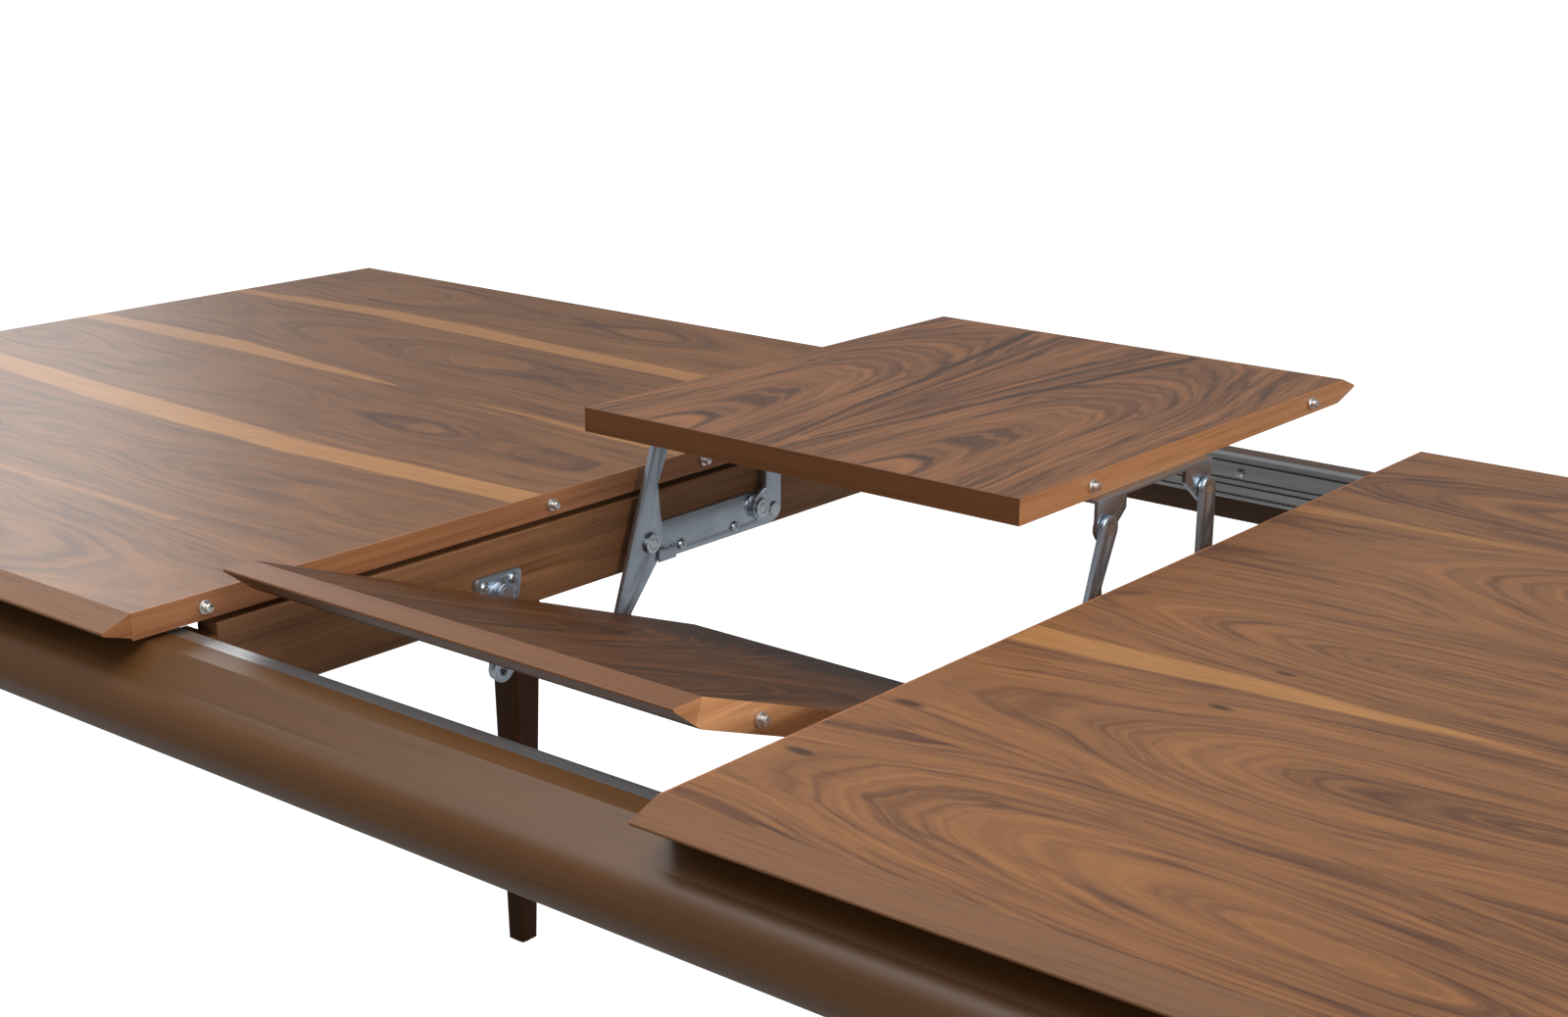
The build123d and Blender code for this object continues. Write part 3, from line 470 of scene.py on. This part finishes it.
plain_block = planed_timber(
    "stained_beech_block", "#7A5030", "#5E3B20", 0.6, "z", streak=240.0, pores=0.3
)

# %% [markdown]
# ## Metal
# The arms and brackets are pressed from steel sheet and zinc-plated. Fresh zinc is a bluish grey metal
# with soft clouds where the plating took unevenly, and it is neither mirror nor matt. The rail is an
# anodised aluminium profile, and extrusion leaves fine lines along it. Pins are turned and nickelled.

# %% The metal recipe
def metal(name, light, dark, gloss, cloud, stretch=(1.0, 1.0, 1.0), scratch=0.0):
    """cloud is the size of the colour clouds in metres. stretch draws the pattern out along an axis."""
    material, tree, shader = new_finish(name, Metallic=1.0)
    here = add(tree, "TexCoord").outputs["Object"]
    spread = add(tree, "VectorMath", {0: here, 1: stretch}, operation="MULTIPLY")
    clouded = {"Vector": spread, "Scale": 1 / cloud, "Detail": 4.0, "Roughness": 0.6}
    clouds = add(tree, "TexNoise", clouded)
    colour = add(tree, "ValToRGB", {0: clouds}, stops=((0.35, light), (0.65, dark)))
    limits = {"From Min": 0.3, "From Max": 0.7, "To Min": gloss * 0.85, "To Max": gloss * 1.2}
    rough = add(tree, "MapRange", {"Value": clouds, **limits})
    tree.links.new(colour.outputs[0], shader.inputs["Base Color"])
    tree.links.new(rough.outputs[0], shader.inputs["Roughness"])
    if scratch:
        grit = add(tree, "TexNoise", {"Vector": spread, "Scale": 6 / cloud, "Detail": 2.0})
        bump = add(tree, "Bump", {"Height": grit, "Strength": scratch, "Distance": 0.02 * MM})
        tree.links.new(bump.outputs[0], shader.inputs["Normal"])
    print(name, "has", len(tree.nodes), "nodes")
    return material


extruded = (0.02, 1.0, 1.0)
zinc = metal("zinc_plated_steel", "#BCC6D1", "#AEB9C5", 0.30, 30 * MM)
zinc_head = metal("zinc_plated_rivet", "#D8DFE6", "#C6CFD8", 0.25, 10 * MM)
aluminium = metal("anodised_aluminium_profile", "#BDBFC1", "#A3A6A9", 0.34, 2 * MM, extruded, 0.12)
nickel = metal("nickelled_pin_steel", "#E8E6E2", "#D6D4D0", 0.3, 5 * MM)

# %% [markdown]
# The glides, the sliding pads and the sockets are moulded in black nylon, which is satin and very
# slightly pebbled from the mould.

# %% Nylon
nylon, nylon_tree, nylon_shader = new_finish("moulded_black_nylon", Roughness=0.42)
nylon_here = add(nylon_tree, "TexCoord").outputs["Object"]
pebble = add(nylon_tree, "TexNoise", {"Vector": nylon_here, "Scale": 900.0, "Detail": 2.0})
nylon_colour = add(nylon_tree, "ValToRGB", {0: pebble}, stops=((0.3, "#1B1B1C"), (0.7, "#262627")))
pebbled = add(nylon_tree, "Bump", {"Height": pebble, "Strength": 0.3, "Distance": 0.02 * MM})
nylon_tree.links.new(nylon_colour.outputs[0], nylon_shader.inputs["Base Color"])
nylon_tree.links.new(pebbled.outputs[0], nylon_shader.inputs["Normal"])
print(nylon.name, "has", len(nylon_tree.nodes), "nodes")

# %% [markdown]
# ## Dressing the CAD parts
# Every CAD part whose shape is right keeps it and only takes a finish. The veneers and the two leaf
# bands are named one by one. What else a part is made of can be read from its name.

# %% Finishes for the CAD parts
finishes = {
    "left_top_board": veneer_left,
    "right_top_board": veneer_right,
    "rear_leaf_board": veneer_rear_leaf,
    "front_leaf_board": veneer_front_leaf,
    "rear_leaf_edge_band": leaf_band,
    "front_leaf_edge_band": front_leaf_band_painted_light,
}
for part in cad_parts:
    if part in finishes:
        continue
    if "lipping" in part:
        finishes[part] = leaf_lipping if "leaf" in part else walnut_lipping
    elif "band" in part:
        finishes[part] = walnut_band
    elif "apron" in part:
        finishes[part] = apron_lacquer
    elif part.endswith("_leg"):
        finishes[part] = leg_walnut
    elif "cross_rail_end" in part or "corner" in part or "spacers" in part:
        finishes[part] = plain_block
    elif "cross_rail" in part or "battens" in part:
        finishes[part] = stained_beech
    elif "slide_rail" in part or "runners" in part:
        finishes[part] = aluminium
    elif "pins" in part:
        finishes[part] = nickel
    elif "sockets" in part or "glide" in part:
        finishes[part] = nylon
    elif "screws" in part or "rivets" in part or "bolts" in part:
        finishes[part] = zinc_head
    else:
        finishes[part] = zinc
for part, finish in finishes.items():
    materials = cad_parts[part].data.materials
    materials.clear()
    materials.append(finish)
print(len(finishes), "CAD parts have their finish")

# %% [markdown]
# ## Turned pieces
# Pins, rivets, screws and sockets are all round, and on the real table they come off a lathe, a header
# or a mould. All start in the same way here: a cylinder primitive, whose end face is then extruded and
# scaled step by step, as a turner works along a bar. The steps are heights and radii in millimetres.
# Where the height goes back down, the tool is boring a hole.

# %% The turning helper
def only(piece):
    """Selects one object and nothing else."""
    bpy.ops.object.select_all(action="DESELECT")
    piece.select_set(True)
    bpy.context.view_layer.objects.active = piece


def select_cap(piece, height):
    """In edit mode, selects the one face that looks up at this height."""
    bpy.ops.mesh.select_mode(type="FACE")
    bpy.ops.mesh.select_all(action="DESELECT")
    bpy.ops.object.mode_set(mode="OBJECT")
    for face in piece.data.polygons:
        face.select = face.normal.z > 0.99 and abs(face.center.z - height) < 1e-6
    bpy.ops.object.mode_set(mode="EDIT")


def turned(name, steps, facets=28):
    """A round piece on the Z axis. steps are (height, radius) in millimetres from its first face."""
    (start, radius), (height, _) = steps[:2]
    depth = (height - start) * MM
    middle = (0, 0, (start + height) / 2 * MM)
    bpy.ops.mesh.primitive_cylinder_add(vertices=facets, radius=radius * MM, depth=depth, location=middle)
    piece = bpy.context.object
    piece.name = name
    bpy.ops.object.transform_apply(location=True, rotation=True, scale=True)
    bpy.ops.object.mode_set(mode="EDIT")
    select_cap(piece, height * MM)
    for step, (height, next_radius) in enumerate(steps[1:]):
        if step:
            rise = (0, 0, (height - steps[step][0]) * MM)
            bpy.ops.mesh.extrude_region_move(TRANSFORM_OT_translate={"value": rise})
        grow = next_radius / radius
        bpy.ops.transform.resize(value=(grow, grow, 1), center_override=(0, 0, height * MM))
        radius = next_radius
    bpy.ops.object.mode_set(mode="OBJECT")
    bpy.ops.object.shade_smooth_by_angle(angle=math.radians(32))
    return piece


print("a turned piece has", turned.__defaults__[0], "facets unless it says otherwise")

# %% [markdown]
# CAD has each set of pins or rivets as one part. To find where each one sits, a copy of the part is
# welded, split into its loose pieces and measured. Nothing is typed in that CAD already knows. The
# turned pattern is then copied to each place, and the copies become one piece that rides on a body.

# %% Where each one sits
def loose_boxes(node):
    """The lowest and highest corner of every loose piece of a CAD part."""
    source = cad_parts[node]
    copy = bpy.data.objects.new("measured", source.data.copy())
    scene.collection.objects.link(copy)
    only(copy)
    bpy.ops.object.mode_set(mode="EDIT")
    bpy.ops.mesh.select_all(action="SELECT")
    bpy.ops.mesh.remove_doubles(threshold=0.01 * MM)
    bpy.ops.object.mode_set(mode="OBJECT")
    bpy.ops.mesh.separate(type="LOOSE")
    boxes = []
    for piece in list(bpy.context.selected_objects):
        corners = [vertex.co for vertex in piece.data.vertices]
        low = Vector([min(corner[axis] for corner in corners) for axis in range(3)])
        high = Vector([max(corner[axis] for corner in corners) for axis in range(3)])
        boxes.append((low, high))
        bpy.data.objects.remove(piece)
    return sorted(boxes, key=lambda box: (round(box[0].x, 4), round(box[0].y, 4)))


def set_out(name, pattern, places, finish, body, slot, *nodes):
    """Copies a pattern to every place, joins the copies and gives them to a body. The pattern goes."""
    copies = []
    for place in places:
        copy = pattern.copy()
        copy.data = pattern.data.copy()
        copy.data.transform(place)
        scene.collection.objects.link(copy)
        copies.append(copy)
    bpy.ops.object.select_all(action="DESELECT")
    for copy in copies:
        copy.select_set(True)
    bpy.context.view_layer.objects.active = copies[0]
    if len(copies) > 1:
        bpy.ops.object.join()
    piece = bpy.context.view_layer.objects.active
    piece.name = name
    piece.data.materials.clear()
    piece.data.materials.append(finish)
    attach(piece, body)
    if nodes:
        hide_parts(*nodes)
    bpy.data.objects.remove(pattern)
    print(name, len(places), "of them,", len(piece.data.polygons), "faces")


TO_RIGHT = Matrix.Rotation(math.radians(90), 4, "Y")
TO_LEFT = Matrix.Rotation(math.radians(-90), 4, "Y")
print(len(loose_boxes("left_top_pins")), "pins in the left top")

# %% [markdown]
# ## Alignment pins and sockets
# When the table is closed, steel pins in one edge run into nylon sockets in the next, so that the tops
# lie level. Each pin has a collar against the edge, a neck, and a rounded head that finds its socket.

# %% Pins
for node, body, length in (
    ("left_top_pins", "left_top", 8.0),
    ("rear_leaf_pins", "rear_leaf", 7.0),
    ("front_leaf_pins", "front_leaf", 7.0),
):
    pin_steps = (
        (-2.0, 4.0), (0.0, 4.0), (0.0, 4.6), (0.4, 5.0), (2.4, 5.0), (2.8, 4.6), (3.0, 2.8), (3.3, 2.6),
        (4.7, 2.6), (5.0, 3.1), (5.4, 3.3), (length - 1.0, 3.3), (length - 0.3, 2.8), (length, 1.8),
    )
    places = []
    for low, high in loose_boxes(node):
        face = high.x - length * MM
        centre = Vector((face, (low.y + high.y) / 2, (low.z + high.z) / 2))
        places.append(Matrix.Translation(centre) @ TO_RIGHT)
    set_out(node + "_turned", turned("pin", pin_steps), places, nickel, body, "pin_steel", node)

# %% [markdown]
# A socket is a bush with a thin rim and a bore that is open at the edge. It is turned from its bottom
# up to the rim, and the last three steps go back down into it.

# %% Sockets
socket_steps = ((-16.0, 6.0), (0.0, 5.9), (0.0, 5.0), (-0.6, 4.4), (-13.0, 4.4))
for body in ("right_top", "rear_leaf", "front_leaf"):
    node = body + "_sockets"
    places = []
    for low, high in loose_boxes(node):
        centre = Vector((low.x, (low.y + high.y) / 2, (low.z + high.z) / 2))
        places.append(Matrix.Translation(centre) @ TO_LEFT)
    socket = turned("socket", socket_steps)
    set_out(node + "_moulded", socket, places, nylon, body, "black_nylon", node)

# %% [markdown]
# ## Rivets
# The arms turn on steel rivets. The press leaves a flat head with a soft rim, and a shallow ring where
# the punch spread the shank, which is what catches the light. Rivets of one size share a pattern.

# %% Rivets
def rivet_places(node):
    """Each rivet's head faces the middle of the table. Gives its head radius, its length and its place."""
    rivets = []
    for low, high in loose_boxes(node):
        side = 1 if low.x + high.x > 2 * leaf_middle else -1
        radius = (high.z - low.z) / 2 / MM
        inner = low.x if side > 0 else high.x
        middle = Matrix.Translation((inner, (low.y + high.y) / 2, (low.z + high.z) / 2))
        rivets.append((radius, (high.x - low.x) / MM, middle @ (TO_LEFT if side > 0 else TO_RIGHT)))
    return rivets


for node, body in (("long_arm_rivets", "lift_arms"), ("rear_arm_rivets", "rear_arms")):
    heads = {}
    for radius, length, place in rivet_places(node):
        heads.setdefault((round(radius, 2), round(length, 2)), []).append(place)
    for number, ((radius, length), places) in enumerate(sorted(heads.items())):
        rivet_steps = (
            (-length, 4.0), (-2.4, 4.0), (-2.4, radius), (-0.7, radius), (-0.25, radius - 0.35),
            (-0.1, radius - 1.0), (-0.1, radius * 0.62), (-0.55, radius * 0.57), (-0.55, radius * 0.5),
            (-0.15, radius * 0.45), (0.0, radius * 0.3),
        )
        rivet = turned("rivet", rivet_steps, facets=36)
        name = f"{node}_pressed_{number}"
        replaced = [node] if number == 0 else []
        set_out(name, rivet, places, zinc_head, body, "zinc_fasteners", *replaced)

# %% [markdown]
# The foot of each rear arm carries a second, smaller rivet beside its pivot. CAD leaves it out, because
# nothing turns on it. It is placed from the rear corner of the arm's foot.

# %% The second rivet
from_foot_edge = 9 * MM
head_height = 1.8 * MM
foot_steps = ((-3.6, 3.0), (-1.8, 3.0), (-1.8, 6.6), (-0.7, 6.6), (-0.2, 6.1), (0.0, 4.8))
foot_places = []
for side, name, turn in ((-1, "left", TO_RIGHT), (1, "right", TO_LEFT)):
    low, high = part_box(name + "_rear_arm")
    inner = high.x if side < 0 else low.x
    centre = Vector((inner - side * head_height, high.y - from_foot_edge, low.z + from_foot_edge))
    foot_places.append(Matrix.Translation(centre) @ turn)
foot_rivet = turned("rivet", foot_steps, facets=32)
set_out("rear_arm_foot_rivets", foot_rivet, foot_places, zinc_head, "rear_arms", "zinc_fasteners")

# %% [markdown]
# ## Stop tabs
# Beside the front pivot a strap is bent out of each base bar. It stands off the bar by the thickness
# of the arm, and the lowered arm comes to rest against it. The strap is a thin box, its end is extruded
# to form the corner, and the side of that corner is extruded back to the bar.

# %% The stop tabs
def select_face(piece, direction, beyond):
    """In edit mode, selects the faces that look along a direction and lie past a place on the Y axis."""
    bpy.ops.mesh.select_all(action="DESELECT")
    bpy.ops.object.mode_set(mode="OBJECT")
    for face in piece.data.polygons:
        face.select = face.normal.dot(direction) > 0.99 and face.center.y > beyond
    bpy.ops.object.mode_set(mode="EDIT")
    bpy.ops.mesh.select_mode(type="FACE")


strap_thickness = 1.6 * MM
strap_height = 11 * MM
strap_length = 19.4 * MM
strap_gap = 0.4 * MM
from_bar_end = 19 * MM
from_bar_bottom = 2 * MM
for side, name in ((-1, "left"), (1, "right")):
    arm_low, arm_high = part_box(name + "_long_arm")
    bar_low, bar_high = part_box(name + "_base_bar")
    arm_face = arm_high.x if side < 0 else arm_low.x
    bar_face = bar_high.x if side < 0 else bar_low.x
    strap_x = arm_face - side * (strap_gap + strap_thickness / 2)
    strap_y = bar_low.y + from_bar_end + strap_length / 2
    strap_z = bar_low.z + from_bar_bottom + strap_height / 2
    bpy.ops.object.select_all(action="DESELECT")
    bpy.ops.mesh.primitive_cube_add(size=1.0, location=(strap_x, strap_y, strap_z))
    tab = bpy.context.object
    tab.name = name + "_base_bar_stop"
    tab.scale = (strap_thickness, strap_length, strap_height)
    bpy.ops.object.transform_apply(location=True, rotation=True, scale=True)
    bpy.ops.object.mode_set(mode="EDIT")
    select_face(tab, Vector((0, 1, 0)), strap_y)
    bpy.ops.mesh.extrude_region_move(TRANSFORM_OT_translate={"value": (0, strap_thickness, 0)})
    select_face(tab, Vector((side, 0, 0)), strap_y + strap_length / 2)
    reach = abs(bar_face - strap_x) - strap_thickness / 2
    bpy.ops.mesh.extrude_region_move(TRANSFORM_OT_translate={"value": (side * reach, 0, 0)})
    bpy.ops.mesh.select_all(action="SELECT")
    bpy.ops.mesh.bevel(offset=0.4 * MM, segments=2, affect="EDGES")
    bpy.ops.object.mode_set(mode="OBJECT")
    bpy.ops.object.shade_smooth_by_angle(angle=math.radians(38))
    tab.data.materials.append(zinc)
    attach(tab, "frame")
    print(tab.name, len(tab.data.polygons), "faces")

# %% [markdown]
# ## Screws
# Cross-head pan screws hold the bars, the plates and the slide rails. The head is turned with a domed
# top, and the recess is cut with the shape of the driver.

# %% The driver's recess
blade_width, blade_reach, blade_stretch = 1.0 * MM, 1.6 * MM, 2.4


def cut_away(piece, cutter):
    """Cuts one piece out of another, and throws the cutter away."""
    only(piece)
    cut = piece.modifiers.new("cut", "BOOLEAN")
    cut.object = cutter
    cut.solver = "EXACT"
    bpy.ops.object.modifier_apply(modifier="cut")
    bpy.data.objects.remove(cutter)


def cross_cutter():
    """The point of a cross-head driver: a small block whose four sides are drawn out into blades."""
    bpy.ops.object.select_all(action="DESELECT")
    bpy.ops.mesh.primitive_cube_add(size=blade_width, location=(0, 0, 0))
    driver = bpy.context.object
    bpy.ops.object.mode_set(mode="EDIT")
    bpy.ops.mesh.select_mode(type="FACE")
    bpy.ops.mesh.select_all(action="DESELECT")
    bpy.ops.object.mode_set(mode="OBJECT")
    for face in driver.data.polygons:
        face.select = abs(face.normal.z) < 0.5
    bpy.ops.object.mode_set(mode="EDIT")
    bpy.ops.mesh.extrude_faces_move(TRANSFORM_OT_shrink_fatten={"value": blade_reach})
    bpy.ops.mesh.select_all(action="SELECT")
    bpy.ops.transform.resize(value=(1, 1, blade_stretch), center_override=(0, 0, 0))
    bpy.ops.object.mode_set(mode="OBJECT")
    return driver


def pan_screw(radius, height, length):
    """A screw whose head's top is at height 0 and whose shank goes down."""
    screw_steps = (
        (-length, 1.6), (-height, 1.9), (-height, radius), (-height * 0.45, radius),
        (-height * 0.18, radius * 0.84), (0.0, radius * 0.5),
    )
    screw = turned("screw", screw_steps, facets=24)
    cut_away(screw, cross_cutter())
    return screw


print("the recess is", round((blade_width + 2 * blade_reach) / MM, 1), "mm across")

# %% [markdown]
# Each screw is turned by a different amount, because nobody drives them all to the same angle.

# %% Screws
def screw_places(node, axis):
    """The places of screws along an axis: the head is at the end nearer the middle of the table."""
    places = []
    for low, high in loose_boxes(node):
        middle = (low + high) / 2
        inwards = -1 if middle[axis] > (leaf_middle if axis == 0 else 0.0) else 1
        middle[axis] = high[axis] if inwards > 0 else low[axis]
        if axis == 0:
            turn = TO_RIGHT if inwards > 0 else TO_LEFT
        else:
            turn = Matrix.Rotation(math.radians(-90 * inwards), 4, "X")
        spin = Matrix.Rotation(middle.x * 40 + middle.y * 25, 4, "Z")
        places.append(Matrix.Translation(middle) @ turn @ spin)
    return places


for node, axis, radius, height, length in (
    ("base_bar_screws", 0, 4.5, 2.1, 18.0),
    ("rail_screws", 1, 3.8, 1.6, 16.0),
):
    screw = pan_screw(radius, height, length)
    places = screw_places(node, axis)
    set_out(node + "_pan", screw, places, zinc_head, "frame", "zinc_fasteners", node)

# %% [markdown]
# ## Easing sharp edges
# No real edge is perfectly sharp. Sheet steel has a rolled edge from the press, and timber is sanded
# to a small arris, and both catch a line of light. A copy of the CAD part is welded, its flat faces are
# dissolved into single faces, and a Bevel modifier rounds what is left. The copy stands for the part.

# %% The easing helper
def eased(node, body, finish, width):
    """A copy of a CAD part with its sharp edges rounded by a width in millimetres."""
    piece = bpy.data.objects.new(node + "_eased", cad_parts[node].data.copy())
    scene.collection.objects.link(piece)
    only(piece)
    bpy.ops.mesh.customdata_custom_splitnormals_clear()
    bpy.ops.object.mode_set(mode="EDIT")
    bpy.ops.mesh.select_mode(type="FACE")
    bpy.ops.mesh.select_all(action="SELECT")
    bpy.ops.mesh.remove_doubles(threshold=0.01 * MM)
    bpy.ops.mesh.dissolve_limited(angle_limit=math.radians(0.5))
    bpy.ops.object.mode_set(mode="OBJECT")
    arris = piece.modifiers.new("arris", "BEVEL")
    arris.width = width * MM
    arris.segments = 2
    arris.limit_method = "ANGLE"
    arris.angle_limit = math.radians(28)
    arris.use_clamp_overlap = True
    bpy.ops.object.modifier_apply(modifier="arris")
    bpy.ops.object.shade_smooth_by_angle(angle=math.radians(38))
    piece.data.materials.clear()
    piece.data.materials.append(finish)
    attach(piece, body)
    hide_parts(node)
    print(piece.name, len(piece.data.polygons), "faces")


# %% [markdown]
# Pressed steel gets the smallest radius, half a millimetre. The legs are sanded a little rounder than
# the rails, because hands and knees touch them.

# %% Steel and timber with eased edges
steel_parts = [
    (f"{side}_{part}", body)
    for part, body in (
        ("long_arm", "lift_arms"),
        ("rear_arm", "rear_arms"),
        ("guide_link", "guide_links"),
        ("base_bar", "frame"),
        ("guide_plate", "frame"),
    )
    for side in ("left", "right")
]
steel_parts += [("rear_leaf_brackets", "rear_leaf"), ("front_leaf_brackets", "front_leaf")]
for node, body in steel_parts:
    eased(node, body, zinc, 0.5)
for end in ("front", "rear"):
    for side in ("left", "right"):
        eased(f"{end}_{side}_leg", "frame", leg_walnut, 0.8)
for side in ("left", "right"):
    eased(f"{side}_cross_rail", "frame", stained_beech, 0.6)

# %% [markdown]
# ## Stage, light and camera
# A pale floor and a white room give the soft, even light of a catalogue set. Both look white to the
# camera. The room lights the table with less than it shows, so that the lamps still model the wood, and
# the metal mirrors only a little of the floor, so that zinc stays grey.

# %% Floor and room
seen_floor, mirrored_floor = 0.95, 0.07
seen_room, lighting_room = 1.1, 0.38
bpy.ops.object.select_all(action="DESELECT")
bpy.ops.mesh.primitive_plane_add(size=60.0, location=(0, 0, 0))
floor = bpy.context.object
floor.name = "studio_floor"
floor_paint, floor_tree, floor_shader = new_finish("studio_floor_paint", Roughness=0.9)
floor_shader.inputs["Base Color"].default_value = (0.42, 0.42, 0.42, 1.0)
floor_shader.inputs["Emission Color"].default_value = (1.0, 1.0, 1.0, 1.0)
ray = add(floor_tree, "LightPath").outputs
glow = add(floor_tree, "Math", {0: ray["Is Glossy Ray"], 1: mirrored_floor}, operation="MULTIPLY")
glow = {0: ray["Is Camera Ray"], 1: seen_floor, 2: glow}
glow = add(floor_tree, "Math", glow, operation="MULTIPLY_ADD")
floor_tree.links.new(glow.outputs[0], floor_shader.inputs["Emission Strength"])
floor.data.materials.append(floor_paint)

room = bpy.data.worlds.new("white_room")
scene.world = room
room.use_nodes = True
backdrop = room.node_tree.nodes["Background"]
backdrop.inputs["Color"].default_value = (1.0, 1.0, 1.0, 1.0)
ray = add(room.node_tree, "LightPath").outputs
room_light = {"Value": ray["Is Camera Ray"], "To Min": lighting_room, "To Max": seen_room}
room_light = add(room.node_tree, "MapRange", room_light)
room.node_tree.links.new(room_light.outputs[0], backdrop.inputs["Strength"])
scene.view_settings.view_transform = "Standard"
print("the floor is", floor.dimensions.x, "m wide")

# %% [markdown]
# Three broad square lamps make the shading. One hangs above the front of the table. One stands far off
# to the left, a little behind, and lays the satin sheen over the left top. One stands lower, to the
# right, and lights the edges that face it.

# %% Lamps
def soft_lamp(name, place, target, size, watts):
    """A square area lamp that points at a target."""
    lamp = bpy.data.objects.new(name, bpy.data.lights.new(name, "AREA"))
    lamp.data.size = size
    lamp.data.energy = watts
    lamp.location = place
    lamp.rotation_euler = (Vector(target) - Vector(place)).to_track_quat("-Z", "Y").to_euler()
    scene.collection.objects.link(lamp)
    print(name, watts, "W at", place)


soft_lamp("overhead_lamp", (-0.2, -0.7, 2.4), (-0.1, -0.4, 0.75), 2.0, 44)
soft_lamp("left_lamp", (-4.4, 1.4, 2.5), (-0.8, 0, 0.75), 2.0, 47)
soft_lamp("right_lamp", (4.3, -0.8, 1.6), (0, 0, 0.72), 1.8, 115)

# %% [markdown]
# The camera stands in front of the table's right end, half a metre above the tops, and looks across to
# the rear left. Its turn, tip and tilt give the three directions of its view: right, up and back.

# %% Camera
camera_place = (0.9961, -1.3173, 1.2436)
yaw, pitch, roll = math.radians(38.99), math.radians(16.0), math.radians(-0.46)
forward = Vector((-math.sin(yaw) * math.cos(pitch), math.cos(yaw) * math.cos(pitch), -math.sin(pitch)))
level = Vector((math.cos(yaw), math.sin(yaw), 0))
drop = forward.cross(level)
right = level * math.cos(roll) + drop * math.sin(roll)
down = drop * math.cos(roll) - level * math.sin(roll)
camera = bpy.data.objects.new("camera", bpy.data.cameras.new("camera"))
camera.data.lens = 52.95
camera.data.sensor_width = 36.0
scene.collection.objects.link(camera)
aimed = Matrix((right, -down, -forward)).transposed().to_4x4()
aimed.translation = camera_place
camera.matrix_world = aimed
scene.camera = camera
print("the camera is", round(camera_place[2], 2), "m above the floor")
